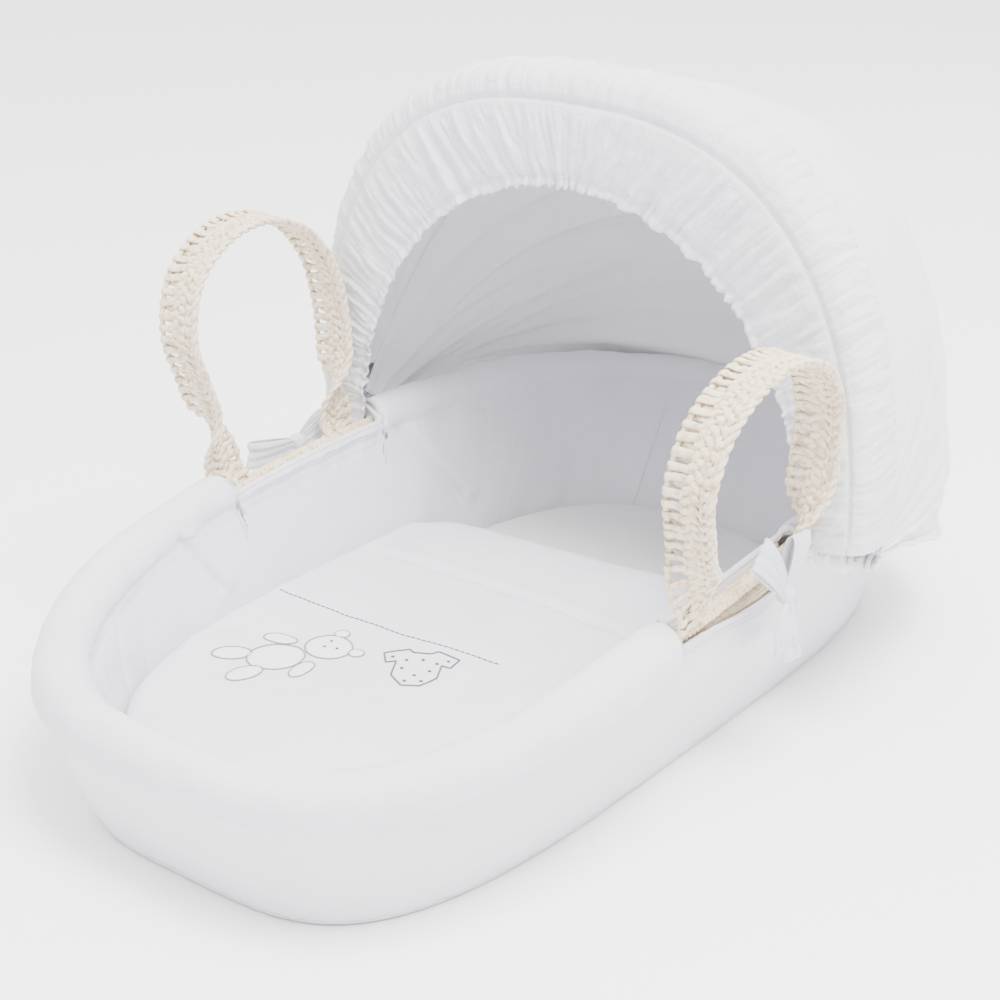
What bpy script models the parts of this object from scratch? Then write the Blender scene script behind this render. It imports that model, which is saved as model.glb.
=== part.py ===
"""Moses basket: palm basket, padded fabric liner, mattress, coverlet,
two woven strap handles and a folding fabric hood on three wire hoops.

Metres, +Z up.  X is the width, +Y is the head end that the hood covers.
The origin is under the middle of the whole object, on the floor.
"""
import math
import bpy
import bmesh
from mathutils import Vector, Matrix

# ------------------------------------------------------------------ sizes
Y_SHIFT = -0.00215         # moves the model so that its box is centred in Y

RIM_A, RIM_B, RIM_N, RIM_K = 0.231, 0.420, 2.95, -0.0565    # padded rim, outer line
BASE_A, BASE_B, BASE_N, BASE_K, BASE_Y = 0.1726, 0.386, 3.86, 0.013, 0.0066
FLOOR_A, FLOOR_B, FLOOR_N, FLOOR_Y = 0.1575, 0.3295, 3.1, -0.0345  # liner's foot
RIM_H0, RIM_H1, RIM_H2 = 0.176, 0.018, -0.036               # height of the rim's top

WALL_T = 0.007             # woven palm wall
WALL_IN0, WALL_IN1 = 0.0065, 0.0175   # its middle, in from the outer line, foot and top
SKIRT_T = 0.002            # outer skirt fabric
PAD_T = 0.009              # padded liner
BRAID_R = 0.0055
BASE_T = 0.009
STATIONS = 48              # points round the basket

MAT_A, MAT_B, MAT_N, MAT_Y = 0.1515, 0.322, 3.1, -0.036     # mattress outline
MAT_Z0, MAT_Z1 = 0.0125, 0.0485
SHEET_T = 0.0012
COVER_Z0, COVER_T, COVER_HEAD_Y = 0.0508, 0.030, 0.100

STRAP_W, STRAP_T = 0.040, 0.006
HANDLE_X, HANDLE_Z = 0.2235, 0.160          # hinge line of a handle
HANDLE_Y0, HANDLE_Y1 = -0.103, 0.038        # the two feet of a handle
CUT_Y0, CUT_Y1, CUT_Z = -0.130, 0.078, 0.1475   # gap in the padded rim at a handle

PIV_Y, PIV_Z = 0.096, 0.149                 # hood pivot line, along X
HOOD_A, HOOD_B, HOOD_N = 0.262, 0.337, 2.64 # outer face of the front panel
PANEL_T = 0.002
PHI_FRONT, PHI_MID, PHI_REAR = -3.0, 29.3, 64.0     # hoops, degrees back from upright
WIRE_R = 0.0025
POLE_R = 0.020                              # panels stop this far from the pivot

# ---------------------------------------------------------------- helpers
for o in list(bpy.data.objects):
    bpy.data.objects.remove(o, do_unlink=True)
for c in list(bpy.data.collections):
    bpy.data.collections.remove(c)

parts = bpy.data.collections.new("moses_basket")
cutters = bpy.data.collections.new("cutters")
bpy.context.scene.collection.children.link(parts)
bpy.context.scene.collection.children.link(cutters)


def material(name, colour, rough, metal=0.0):
    m = bpy.data.materials.new(name)
    m.use_nodes = True
    b = m.node_tree.nodes["Principled BSDF"]
    b.inputs["Base Color"].default_value = (*colour, 1.0)
    b.inputs["Roughness"].default_value = rough
    b.inputs["Metallic"].default_value = metal
    m.diffuse_color = (*colour, 1.0)
    return m


def mesh_object(name, verts, faces, mat, smooth=True):
    me = bpy.data.meshes.new(name)
    me.from_pydata([tuple(v) for v in verts], [], faces)
    me.update()
    if smooth:
        me.shade_smooth()
        me.set_sharp_from_angle(angle=math.radians(40))
    ob = bpy.data.objects.new(name, me)
    me.materials.append(mat)
    parts.objects.link(ob)
    return ob


def solidify(ob, t, offset=0.0):
    s = ob.modifiers.new("thickness", "SOLIDIFY")
    s.thickness = t
    s.offset = offset
    s.use_even_offset = True
    s.use_rim = True
    return ob


def grid(rows, closed):
    """Faces over equal rows of points; closed rows join last to first."""
    n = len(rows[0])
    verts = [p for r in rows for p in r]
    faces = []
    for j in range(len(rows) - 1):
        for i in range(n if closed else n - 1):
            k = (i + 1) % n
            faces.append((j * n + i, j * n + k, (j + 1) * n + k, (j + 1) * n + i))
    return verts, faces


def sp(v, p):
    return math.copysign(abs(v) ** p, v)


def outline(t, a, b, n, k=0.0, y0=0.0, inset=0.0):
    c, s = math.cos(t), math.sin(t)
    y = (b - inset) * sp(s, 2.0 / n)
    x = (a - inset) * sp(c, 2.0 / n) * (1.0 + k * y / b)
    return Vector((x, y + y0, 0.0))


def even_params(count):
    """Angles at which the rim's outline has equal steps of length."""
    m = 4000
    pts = [outline(2 * math.pi * i / m, RIM_A, RIM_B, RIM_N, RIM_K) for i in range(m + 1)]
    acc = [0.0]
    for i in range(m):
        acc.append(acc[-1] + (pts[i + 1] - pts[i]).length)
    out, j = [], 0
    for q in range(count):
        target = acc[-1] * q / count
        while acc[j + 1] < target:
            j += 1
        f = (target - acc[j]) / (acc[j + 1] - acc[j])
        out.append(2 * math.pi * (j + f) / m)
    return out


TS = even_params(STATIONS)


def rim_h(y):
    s = y / RIM_B
    return RIM_H0 + RIM_H1 * s + RIM_H2 * s * s


def rim(t, inset, dz):
    p = outline(t, RIM_A, RIM_B, RIM_N, RIM_K, 0.0, inset)
    p.z = rim_h(outline(t, RIM_A, RIM_B, RIM_N, RIM_K).y) + dz
    return p


def base(t, inset, z):
    p = outline(t, BASE_A, BASE_B, BASE_N, BASE_K, BASE_Y, inset)
    p.z = z
    return p


def skin(t, z, inset):
    """Outer face of the dressed basket at height z."""
    lo, hi = base(t, inset, 0.0), rim(t, inset, -0.020)
    w = z / hi.z
    p = lo.lerp(hi, w)
    p.z = z
    return p


def skin_x(y, z, inset):
    """The same face's X where it crosses a given Y on the +X side."""
    def half(a, b, n, k, y0):
        q = y - y0
        return a * (1 + k * q / b) * (1 - abs(q / b) ** n) ** (1 / n)
    top = rim_h(y) - 0.020
    xb = half(BASE_A, BASE_B, BASE_N, BASE_K, BASE_Y)
    xr = half(RIM_A, RIM_B, RIM_N, RIM_K, 0.0)
    return xb + (xr - xb) * z / top - inset


def tube(name, pts, r, mat, cyclic=False, res=2):
    cu = bpy.data.curves.new(name, "CURVE")
    cu.dimensions = "3D"
    cu.bevel_depth = r
    cu.bevel_resolution = res
    cu.use_fill_caps = True
    s = cu.splines.new("POLY")
    s.points.add(len(pts) - 1)
    for q, p in zip(s.points, pts):
        q.co = (p[0], p[1], p[2], 1.0)
    s.use_cyclic_u = cyclic
    ob = bpy.data.objects.new(name, cu)
    cu.materials.append(mat)
    parts.objects.link(ob)
    return ob


def to_mesh(ob):
    """Turns a curve object into a mesh one with welded caps."""
    dg = bpy.context.evaluated_depsgraph_get()
    dg.update()
    me = bpy.data.meshes.new_from_object(ob.evaluated_get(dg))
    bm = bmesh.new()
    bm.from_mesh(me)
    bmesh.ops.remove_doubles(bm, verts=bm.verts, dist=1e-5)
    bm.to_mesh(me)
    bm.free()
    name, mw, mats = ob.name, ob.matrix_world.copy(), list(ob.data.materials)
    bpy.data.objects.remove(ob, do_unlink=True)
    new = bpy.data.objects.new(name, me)
    new.matrix_world = mw
    if not me.materials and mats:
        me.materials.append(mats[0])
    me.shade_smooth()
    me.set_sharp_from_angle(angle=math.radians(40))
    parts.objects.link(new)
    return new


def primitive(name, kind, mat, collection=parts, **kw):
    me = bpy.data.meshes.new(name)
    bm = bmesh.new()
    if kind == "cyl":
        bmesh.ops.create_cone(bm, cap_ends=True, segments=kw.get("segments", 24),
                              radius1=kw["r"], radius2=kw.get("r2", kw["r"]), depth=kw["h"])
    elif kind == "sphere":
        bmesh.ops.create_uvsphere(bm, u_segments=kw.get("segments", 12),
                                  v_segments=kw.get("rings", 8), radius=kw["r"])
    else:
        bmesh.ops.create_cube(bm, size=1.0)
    bmesh.ops.transform(bm, matrix=kw.get("matrix", Matrix()), verts=bm.verts)
    bm.to_mesh(me)
    bm.free()
    if mat is not None:
        me.materials.append(mat)
    me.shade_smooth()
    me.set_sharp_from_angle(angle=math.radians(40))
    ob = bpy.data.objects.new(name, me)
    collection.objects.link(ob)
    if collection is cutters:
        ob.hide_render = True
        ob.display_type = "WIRE"
    return ob


def boolean(ob, other, op):
    m = ob.modifiers.new(op.lower(), "BOOLEAN")
    m.operation = op
    m.object = other
    m.solver = "EXACT"
    return m


def box_matrix(lo, hi):
    lo, hi = Vector(lo), Vector(hi)
    return Matrix.Translation((lo + hi) / 2) @ Matrix.Diagonal((*(hi - lo), 1.0))


# -------------------------------------------------------------- materials
PALM = material("palm", (0.80, 0.72, 0.58), 0.75)
PALM_STRAP = material("palm_strap", (0.86, 0.79, 0.66), 0.75)
LINER = material("liner_cotton", (0.83, 0.82, 0.86), 0.85)
SKIRT = material("skirt_cotton", (0.85, 0.83, 0.87), 0.85)
SHEET = material("sheet_jersey", (0.74, 0.74, 0.75), 0.85)
FOAM = material("mattress_foam", (0.85, 0.82, 0.70), 0.9)
COVER = material("coverlet_cotton", (0.80, 0.80, 0.84), 0.8)
HOOD = material("hood_cotton", (0.88, 0.87, 0.91), 0.85)
FRILL = material("frill_cotton", (0.82, 0.81, 0.86), 0.85)
RIBBON = material("ribbon_cotton", (0.85, 0.85, 0.89), 0.8)
WIRE = material("coated_wire", (0.75, 0.75, 0.76), 0.4, 0.0)
PLASTIC = material("white_plastic", (0.85, 0.85, 0.85), 0.4)
STEEL = material("zinc_steel", (0.62, 0.62, 0.64), 0.35, 1.0)
ELASTIC = material("elastic_cord", (0.86, 0.86, 0.87), 0.7)

# ------------------------------------------------------------ palm basket
cu = bpy.data.curves.new("basket_base", "CURVE")
cu.dimensions = "2D"
cu.fill_mode = "BOTH"
cu.extrude = BASE_T / 2
s = cu.splines.new("POLY")
s.points.add(STATIONS - 1)
for q, t in zip(s.points, TS):
    p = base(t, 0.0112, 0.0)
    q.co = (p.x, p.y, 0.0, 1.0)
s.use_cyclic_u = True
cu.materials.append(PALM)
base_ob = bpy.data.objects.new("basket_base", cu)
base_ob.location.z = BASE_T / 2
parts.objects.link(base_ob)
bpy.context.view_layer.update()
base_ob = to_mesh(base_ob)

rows = []
for w in (0.0, 0.35, 0.70, 1.0):
    row = []
    for t in TS:
        z = 0.0014 + (rim(t, 0, -0.0345).z - 0.0014) * w
        row.append(skin(t, z, WALL_IN0 + (WALL_IN1 - WALL_IN0) * w))
    rows.append(row)
solidify(mesh_object("basket_wall", *grid(rows, True), PALM), WALL_T)

tube("rim_braid", [rim(t, 0.0205, -0.0215) for t in TS], BRAID_R, PALM, cyclic=True, res=1)

# ------------------------------------------------------------ fabric liner
rows = []
for j in range(3):
    w = j / 3.0
    row = []
    for t in TS:
        lo = outline(t, FLOOR_A, FLOOR_B, FLOOR_N, 0.0, FLOOR_Y)
        lo.z = 0.0150
        hi = rim(t, 0.0330, -0.030)
        p = lo.lerp(hi, w)
        row.append(p)
    rows.append(row)
rows.append([rim(t, 0.0330, -0.030) for t in TS])
for ang in (180, 135, 90, 45, 0):
    a = math.radians(ang)
    rows.append([rim(t, 0.0195 - 0.0145 * math.cos(a), -0.0195 + 0.0145 * math.sin(a)) for t in TS])
rows.append([rim(t, 0.0050, -0.035) for t in TS])
bumper = solidify(mesh_object("liner_bumper", *grid(rows, True), LINER), PAD_T)
for side, nm in ((1, "right"), (-1, "left")):
    xs = sorted((side * 0.15, side * 0.27))
    cut = primitive("rim_gap_" + nm, "box", None, cutters,
                    matrix=box_matrix((xs[0], CUT_Y0, CUT_Z), (xs[1], CUT_Y1, 0.25)))
    boolean(bumper, cut, "DIFFERENCE")
    xs = sorted((side * 0.2085, side * 0.27))
    cut = primitive("rim_gap_low_" + nm, "box", None, cutters,
                    matrix=box_matrix((xs[0], CUT_Y0, 0.115), (xs[1], CUT_Y1, 0.20)))
    boolean(bumper, cut, "DIFFERENCE")

rows = []
for j in range(4):
    row = []
    for t in TS:
        z = 0.0066 + (rim(t, 0, -0.043).z - 0.0066) * j / 3.0
        row.append(skin(t, z, 0.0010))
    rows.append(row)
solidify(mesh_object("liner_skirt", *grid(rows, True), SKIRT), SKIRT_T)
tube("skirt_hem_cord", [skin(t, 0.0030, 0.0010) for t in TS], 0.0018, ELASTIC, cyclic=True, res=0)

# --------------------------------------------------------------- handles
def anchor(name, side, yc):
    """Sewn-down end of a strap, between the palm wall and the skirt."""
    rows = []
    for z in (0.100, 0.118, 0.131, 0.1420, 0.1525):
        row = []
        for k in range(3):
            y = yc - STRAP_W / 2 + STRAP_W * k / 2
            outer = skin_x(y, z, SKIRT_T + 0.0004)
            w = z / (rim_h(y) - 0.0345)
            inner = skin_x(y, z, WALL_IN0 + (WALL_IN1 - WALL_IN0) * w) + WALL_T * 0.54 + 0.0003
            x = (outer + inner) / 2
            if z > 0.135:
                x = x + (HANDLE_X - x) * (z - 0.131) / (0.1525 - 0.131)
            row.append(Vector((side * x, y, z)))
        rows.append(row)
    if side < 0:
        rows = [r[::-1] for r in rows]
    return solidify(mesh_object(name, *grid(rows, False), PALM_STRAP), STRAP_T)


def smooth_path(pts, steps):
    """Catmull-Rom curve through points in a plane."""
    out = []
    P = [pts[0]] + list(pts) + [pts[-1]]
    for i in range(1, len(P) - 2):
        for k in range(steps):
            u = k / steps
            p0, p1, p2, p3 = (Vector(P[i + d]) for d in (-1, 0, 1, 2))
            out.append(0.5 * ((2 * p1) + (p2 - p0) * u + (2 * p0 - 5 * p1 + 4 * p2 - p3) * u * u
                              + (3 * p1 - p0 - 3 * p2 + p3) * u ** 3))
    out.append(Vector(pts[-1]))
    return out


HANDLE_PATH = [(HANDLE_Y0, 0.004), (-0.108, 0.032), (-0.124, 0.078), (-0.136, 0.122),
               (-0.123, 0.165), (-0.087, 0.191), (-0.043, 0.197), (0.002, 0.182),
               (0.033, 0.146), (0.044, 0.100), (0.044, 0.060), (0.040, 0.028), (HANDLE_Y1, 0.004)]
HANDLE_LEAN = math.radians(5.0)             # both straps lean outwards a little
HANDLE_RISE = {1: 0.92, -1: 1.0}            # the right one has settled lower


def handle(name, side):
    """Flat strap on an arch: wide in Y at its feet, turned wide in X above."""
    path = smooth_path([(y, 0.004 + (z - 0.004) * HANDLE_RISE[side]) for y, z in HANDLE_PATH], 2)
    acc = [0.0]
    for a, b in zip(path, path[1:]):
        acc.append(acc[-1] + (b - a).length)
    total = acc[-1]
    verts, faces = [], []
    n = len(path)
    lean = math.tan(HANDLE_LEAN)
    for i, p in enumerate(path):
        d = (path[min(i + 1, n - 1)] - path[max(i - 1, 0)]).normalized()
        along = Vector((0.0, d.x, d.y))
        normal_in = Vector((0.0, -d.y, d.x))        # in the arch's plane
        across = Vector((1.0, 0.0, 0.0))
        e = min(acc[i], total - acc[i])
        u = min(max((e - 0.006) / 0.055, 0.0), 1.0)
        u = u * u * (3 - 2 * u)
        ang = (1 - u) * math.pi / 2
        if i > n // 2 or side > 0:
            ang = -ang
        wide = across * math.cos(ang) + normal_in * math.sin(ang)
        thin = along.cross(wide)
        c = Vector((side * lean * p.y, p.x, p.y))
        w, h = STRAP_W / 2, STRAP_T / 2
        for (sw, sh) in ((-1, -0.55), (-0.93, -1), (0.93, -1), (1, -0.55),
                         (1, 0.55), (0.93, 1), (-0.93, 1), (-1, 0.55)):
            verts.append(c + wide * w * sw + thin * h * sh)
    for i in range(n - 1):
        for k in range(8):
            m = (k + 1) % 8
            faces.append((i * 8 + k, i * 8 + m, (i + 1) * 8 + m, (i + 1) * 8 + k))
    faces.append(tuple(range(7, -1, -1)))
    faces.append(tuple((n - 1) * 8 + k for k in range(8)))
    ob = mesh_object(name, verts, faces, PALM_STRAP)
    bm = bmesh.new()
    bm.from_mesh(ob.data)
    bmesh.ops.recalc_face_normals(bm, faces=bm.faces)
    bm.to_mesh(ob.data)
    bm.free()
    ob.location = (side * HANDLE_X, 0.0, HANDLE_Z)     # origin on the hinge line
    return ob


for side, nm in ((-1, "left"), (1, "right")):
    anchor("strap_end_%s_foot" % nm, side, HANDLE_Y0)
    anchor("strap_end_%s_head" % nm, side, HANDLE_Y1)
    handle("handle_" + nm, side)

# -------------------------------------------------------------- tie bows
def bow(name, side):
    def M(loc, rot, scale):
        return (Matrix.Translation(loc) @ Matrix.Rotation(rot[0], 4, "X")
                @ Matrix.Rotation(rot[1], 4, "Y") @ Matrix.Rotation(rot[2], 4, "Z")
                @ Matrix.Diagonal((*scale, 1.0)))
    x = side * 0.2375
    knot = primitive(name, "sphere", RIBBON, r=1.0, segments=12, rings=8,
                     matrix=M((x, 0.004, 0.1500), (0, 0, 0), (0.0075, 0.0090, 0.0095)))
    pieces = [
        ("loop_a", "sphere", M((x - side * 0.001, -0.022, 0.1620), (-0.50, 0, 0), (0.0045, 0.026, 0.0085))),
        ("loop_b", "sphere", M((x + side * 0.002, -0.009, 0.1720), (-1.15, 0, 0), (0.0040, 0.024, 0.0080))),
        ("tail_a", "box", M((x, 0.006, 0.1170), (0.10, 0, 0), (0.0030, 0.0125, 0.0640))),
        ("tail_b", "box", M((x + side * 0.0015, -0.006, 0.1240), (-0.28, 0, 0), (0.0030, 0.0120, 0.0520))),
    ]
    for nm2, kind, mx in pieces:
        c = primitive("%s_%s" % (name, nm2), kind, None, cutters, r=1.0, segments=10, rings=6, matrix=mx)
        boolean(knot, c, "UNION")
    return knot


bow("tie_bow_left", -1)
bow("tie_bow_right", 1)

# -------------------------------------------------- mattress and coverlet
def slab(name, a, b, n, y0, z0, z1, mat, edge, count=36, y_max=None, crown=0.0):
    """Rounded oval slab; edge is the radius of its top and bottom edges."""
    ts = [2 * math.pi * i / count for i in range(count)]
    levels = []
    h = z1 - z0
    for k in range(3):
        q = math.pi / 2 * k / 2
        levels.append((edge * (1 - math.sin(q)), z0 + edge * (1 - math.cos(q))))
    for k in range(3):
        q = math.pi / 2 * (2 - k) / 2
        levels.append((edge * (1 - math.sin(q)), z1 - edge * (1 - math.cos(q))))
    verts, faces = [], []
    for inset, z in levels:
        for t in ts:
            p = outline(t, a, b, n, 0.0, y0, inset)
            if y_max is not None and p.y > y_max - inset:
                p.y = y_max - inset
            verts.append((p.x, p.y, z))
    for j in range(len(levels) - 1):
        for i in range(count):
            k = (i + 1) % count
            faces.append((j * count + i, j * count + k, (j + 1) * count + k, (j + 1) * count + i))
    top = (len(levels) - 1) * count
    faces.append(tuple(range(count - 1, -1, -1)))
    faces.append(tuple(range(top, top + count)))
    return mesh_object(name, verts, faces, mat)


slab("mattress_foam", MAT_A, MAT_B, MAT_N, MAT_Y, MAT_Z0, MAT_Z1, FOAM, 0.008)

# the fitted sheet: top, sides and a turned-in strip below, open underneath
count = 36
ts = [2 * math.pi * i / count for i in range(count)]
g = 0.0004
prof = [(0.030, MAT_Z0 - g), (0.008, MAT_Z0 - g)]
for k in (1.5, 3):
    q = math.pi / 2 * k / 3
    prof.append((0.008 * (1 - math.sin(q)) - g * math.sin(q), MAT_Z0 + 0.008 * (1 - math.cos(q)) - g * math.cos(q)))
for k in (3, 1.5, 0):
    q = math.pi / 2 * k / 3
    prof.append((0.008 * (1 - math.sin(q)) - g * math.sin(q), MAT_Z1 - 0.008 * (1 - math.cos(q)) + g * math.cos(q)))
rows = []
for inset, z in prof:
    row = []
    for t in ts:
        p = outline(t, MAT_A, MAT_B, MAT_N, 0.0, MAT_Y, inset)
        row.append(Vector((p.x, p.y, z)))
    rows.append(row)
verts, faces = grid(rows, True)
top = (len(rows) - 1) * count
faces.append(tuple(range(top, top + count)))
solidify(mesh_object("fitted_sheet", verts, faces, SHEET), SHEET_T, offset=1.0)

# coverlet: a padded quilt with a straight head edge
slab("coverlet", 0.1590, 0.322, 3.0, -0.0395, COVER_Z0, COVER_Z0 + COVER_T, COVER, 0.012,
     count=48, y_max=COVER_HEAD_Y)

# ------------------------------------------------------------------ hood
def hood_radius(x, a, b):
    return b * (1.0 - min(abs(x / a), 1.0) ** HOOD_N) ** (1.0 / HOOD_N)


def arch(t, a, b):
    return a * sp(math.cos(t), 2.0 / HOOD_N), b * sp(math.sin(t), 2.0 / HOOD_N)


def arch_params(a, b, r_end, count):
    """Equal-length steps along an arch that stops r_end from the pivot line."""
    lo = math.asin(min((r_end / b) ** (HOOD_N / 2.0), 1.0))
    m = 1200
    ts = [lo + (math.pi - 2 * lo) * i / m for i in range(m + 1)]
    pts = [Vector((*arch(t, a, b), 0)) for t in ts]
    acc = [0.0]
    for i in range(m):
        acc.append(acc[-1] + (pts[i + 1] - pts[i]).length)
    out, j = [], 0
    for q in range(count):
        target = acc[-1] * q / (count - 1)
        while j < m - 1 and acc[j + 1] < target:
            j += 1
        f = (target - acc[j]) / (acc[j + 1] - acc[j])
        out.append(ts[j] + (ts[j + 1] - ts[j]) * f)
    return out


def at(x, r, phi, forward=0.0):
    """Point at radius r and angle phi from upright about the pivot line."""
    a = math.radians(phi)
    return Vector((x, PIV_Y + r * math.sin(a) - forward * math.cos(a),
                   PIV_Z + r * math.cos(a) + forward * math.sin(a)))


def hem_z(y):
    u = min(max((y - PIV_Y) / 0.30, 0.0), 1.0)
    return 0.146 + (0.076 - 0.146) * (u * u * (3 - 2 * u))


def panel(name, drop, phi0, phi1, clear, nx=29, nphi=4, skirt=False, off=0.0):
    """A cloth panel between two hoops, turned about the pivot line."""
    a, b = HOOD_A - drop - PANEL_T / 2, HOOD_B - drop - PANEL_T / 2
    ts = arch_params(a, b, POLE_R, nx)
    rows = []
    for j in range(nphi + 1):
        row = []
        for t in ts:
            x, r = arch(t, a, b)
            start = phi0 + math.degrees(clear / r)
            row.append(at(x, r, start + (phi1 - start) * j / nphi))
        rows.append(row)
    if skirt:
        for j in (1, 2, 3):
            row = []
            for p in rows[nphi]:
                z = p.z + (hem_z(p.y) - p.z) * j / 3.0
                row.append(Vector((p.x, p.y, z)))
            rows.append(row)
    ob = solidify(mesh_object(name, *grid(rows, False), HOOD), PANEL_T)
    if skirt:
        hem = [Vector((p.x, p.y, p.z - 0.0024)) for p in rows[-1]]
        tube("hood_hem_cord", hem, 0.0018, ELASTIC, res=0)
    return ob


def hoop(name, drop, phi, eye_t=0.003, count=33):
    """Wire hoop with an eye at each end round the pivot pin."""
    a, b = HOOD_A - drop, HOOD_B - drop
    ts = arch_params(a, b, 0.0062, count)
    ob = to_mesh(tube(name, [at(*arch(t, a, b), phi) for t in ts], WIRE_R, WIRE, res=1))
    for side in (-1, 1):
        rot = Matrix.Rotation(math.pi / 2, 4, "Y")
        eye = primitive("%s_eye_%d" % (name, side), "cyl", None, cutters, r=0.0082, h=eye_t, segments=14,
                        matrix=Matrix.Translation((side * a, PIV_Y, PIV_Z)) @ rot)
        hole = primitive("%s_hole_%d" % (name, side), "cyl", None, cutters, r=0.0036, h=0.03, segments=14,
                         matrix=Matrix.Translation((side * a, PIV_Y, PIV_Z)) @ rot)
        boolean(ob, eye, "UNION")
        boolean(ob, hole, "DIFFERENCE")
    return ob


hoop("hood_hoop_front", 0.0019, PHI_FRONT)
hoop("hood_hoop_mid", 0.0075, PHI_MID)
hoop("hood_hoop_rear", 0.0162, PHI_REAR)
panel("hood_cover_front", 0.000, PHI_FRONT, 32.0, 0.0042)
panel("hood_cover_mid", 0.005, PHI_MID, 61.5, 0.0042)
panel("hood_cover_rear", 0.010, 57.8, 90.0, 0.0046, skirt=True)

# gathered frill: wraps over the front hoop and hangs in from it
FRILL_ROWS = [(0.0035, 0.0035, -0.014, 2.64), (0.0045, 0.0040, 0.008, 2.64), (0.0020, 0.0005, 0.0235, 2.62),
              (-0.0070, -0.0120, 0.0295, 2.56), (-0.0200, -0.0330, 0.0310, 2.40), (-0.0330, -0.0580, 0.0305, 2.22),
              (-0.0460, -0.0810, 0.0290, 2.06)]
rows = []
nf = 31
for da, db, fwd, power in FRILL_ROWS:
    a, b = HOOD_A + da, HOOD_B + db
    row = []
    for t in arch_params(a, b, 0.016, nf):
        x, r = arch(t, a, b)
        x = math.copysign(a * (1.0 - min(r / b, 1.0) ** power) ** (1.0 / power), x) if abs(x) > 1e-6 else 0.0
        row.append(at(x, r, PHI_FRONT, fwd))
    rows.append(row)
solidify(mesh_object("hood_frill", *grid(rows, False), FRILL), 0.004)

for side, nm in ((-1, "left"), (1, "right")):
    rot = Matrix.Rotation(side * math.pi / 2, 4, "Y")
    br = primitive("hood_bracket_" + nm, "cyl", PLASTIC, r=0.0150, h=0.0110, segments=20,
                   matrix=Matrix.Translation((side * 0.2370, PIV_Y, PIV_Z)) @ rot)
    hole = primitive("bracket_bore_" + nm, "cyl", None, cutters, r=0.0033, h=0.03, segments=14,
                     matrix=Matrix.Translation((side * 0.2370, PIV_Y, PIV_Z)) @ rot)
    boolean(br, hole, "DIFFERENCE")
    bv = br.modifiers.new("edge", "BEVEL")
    bv.width = 0.0012
    bv.segments = 1
    bv.limit_method = "ANGLE"
    bv.angle_limit = math.radians(60)
    # pin: a turned profile with a head, run along X
    prof = [(0.0, 0.0320), (0.0046, 0.0320), (0.0062, 0.0306), (0.0062, 0.0286), (0.0030, 0.0286),
            (0.0030, 0.0006), (0.0024, 0.0), (0.0, 0.0)]
    me = bpy.data.meshes.new("hood_pin_" + nm)
    me.from_pydata([(r, 0.0, z) for r, z in prof], [(i, i + 1) for i in range(len(prof) - 1)], [])
    pin = bpy.data.objects.new("hood_pin_" + nm, me)
    me.materials.append(STEEL)
    parts.objects.link(pin)
    sc = pin.modifiers.new("turn", "SCREW")
    sc.angle = 2 * math.pi
    sc.steps = 14
    sc.render_steps = 14
    sc.axis = "Z"
    sc.use_merge_vertices = True
    sc.merge_threshold = 0.00001
    pin.matrix_world = Matrix.Translation((side * 0.2340, PIV_Y, PIV_Z)) @ rot

# --------------------------------------------------- hinge line empties
def empty(name, loc):
    e = bpy.data.objects.new(name, None)
    e.location = loc
    e.empty_display_size = 0.05
    parts.objects.link(e)
    return e


frame = empty("basket_frame", (0.0, 0.0, 0.0))
mid_axis = empty("hood_mid_axis", (0.0, PIV_Y, PIV_Z))
front_axis = empty("hood_front_axis", (0.0, PIV_Y, PIV_Z))
bpy.context.view_layer.update()


def parent(ob, par):
    mw = ob.matrix_world.copy()
    ob.parent = par
    ob.matrix_parent_inverse = par.matrix_world.inverted()
    ob.matrix_basis = mw


for nm in ("hood_cover_mid", "hood_hoop_mid"):
    parent(bpy.data.objects[nm], mid_axis)
for nm in ("hood_cover_front", "hood_hoop_front", "hood_frill"):
    parent(bpy.data.objects[nm], front_axis)
parent(front_axis, mid_axis)
for ob in list(parts.objects) + list(cutters.objects):
    if ob.parent is None and ob is not frame:
        parent(ob, frame)
frame.location.y = Y_SHIFT
bpy.context.view_layer.update()
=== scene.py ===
import math
import bpy
import bmesh
import numpy as np
from mathutils import Vector, Matrix, noise


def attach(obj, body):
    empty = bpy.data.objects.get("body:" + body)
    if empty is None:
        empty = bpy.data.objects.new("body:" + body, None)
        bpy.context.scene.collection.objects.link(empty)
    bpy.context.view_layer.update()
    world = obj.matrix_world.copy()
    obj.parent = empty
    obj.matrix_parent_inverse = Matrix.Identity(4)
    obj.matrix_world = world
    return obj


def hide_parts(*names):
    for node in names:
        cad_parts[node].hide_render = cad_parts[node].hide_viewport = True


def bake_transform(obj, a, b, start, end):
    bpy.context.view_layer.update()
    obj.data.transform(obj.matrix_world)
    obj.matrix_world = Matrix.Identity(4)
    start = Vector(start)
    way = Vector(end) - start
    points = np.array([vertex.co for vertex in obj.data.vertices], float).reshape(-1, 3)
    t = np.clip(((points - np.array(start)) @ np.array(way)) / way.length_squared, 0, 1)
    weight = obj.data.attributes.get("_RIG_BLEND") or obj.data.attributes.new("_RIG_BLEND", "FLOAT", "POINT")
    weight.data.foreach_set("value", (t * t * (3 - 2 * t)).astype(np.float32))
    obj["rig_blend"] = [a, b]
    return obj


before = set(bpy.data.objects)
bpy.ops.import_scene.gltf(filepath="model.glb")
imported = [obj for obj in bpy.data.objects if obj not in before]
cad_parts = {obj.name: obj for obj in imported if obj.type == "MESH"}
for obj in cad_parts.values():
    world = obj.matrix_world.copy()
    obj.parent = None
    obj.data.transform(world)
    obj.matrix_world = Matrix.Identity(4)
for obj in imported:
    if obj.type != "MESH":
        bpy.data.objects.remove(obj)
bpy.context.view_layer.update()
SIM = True

# ------------------------------------------------------------ CAD sizes, metres
YS = -0.00215
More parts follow.
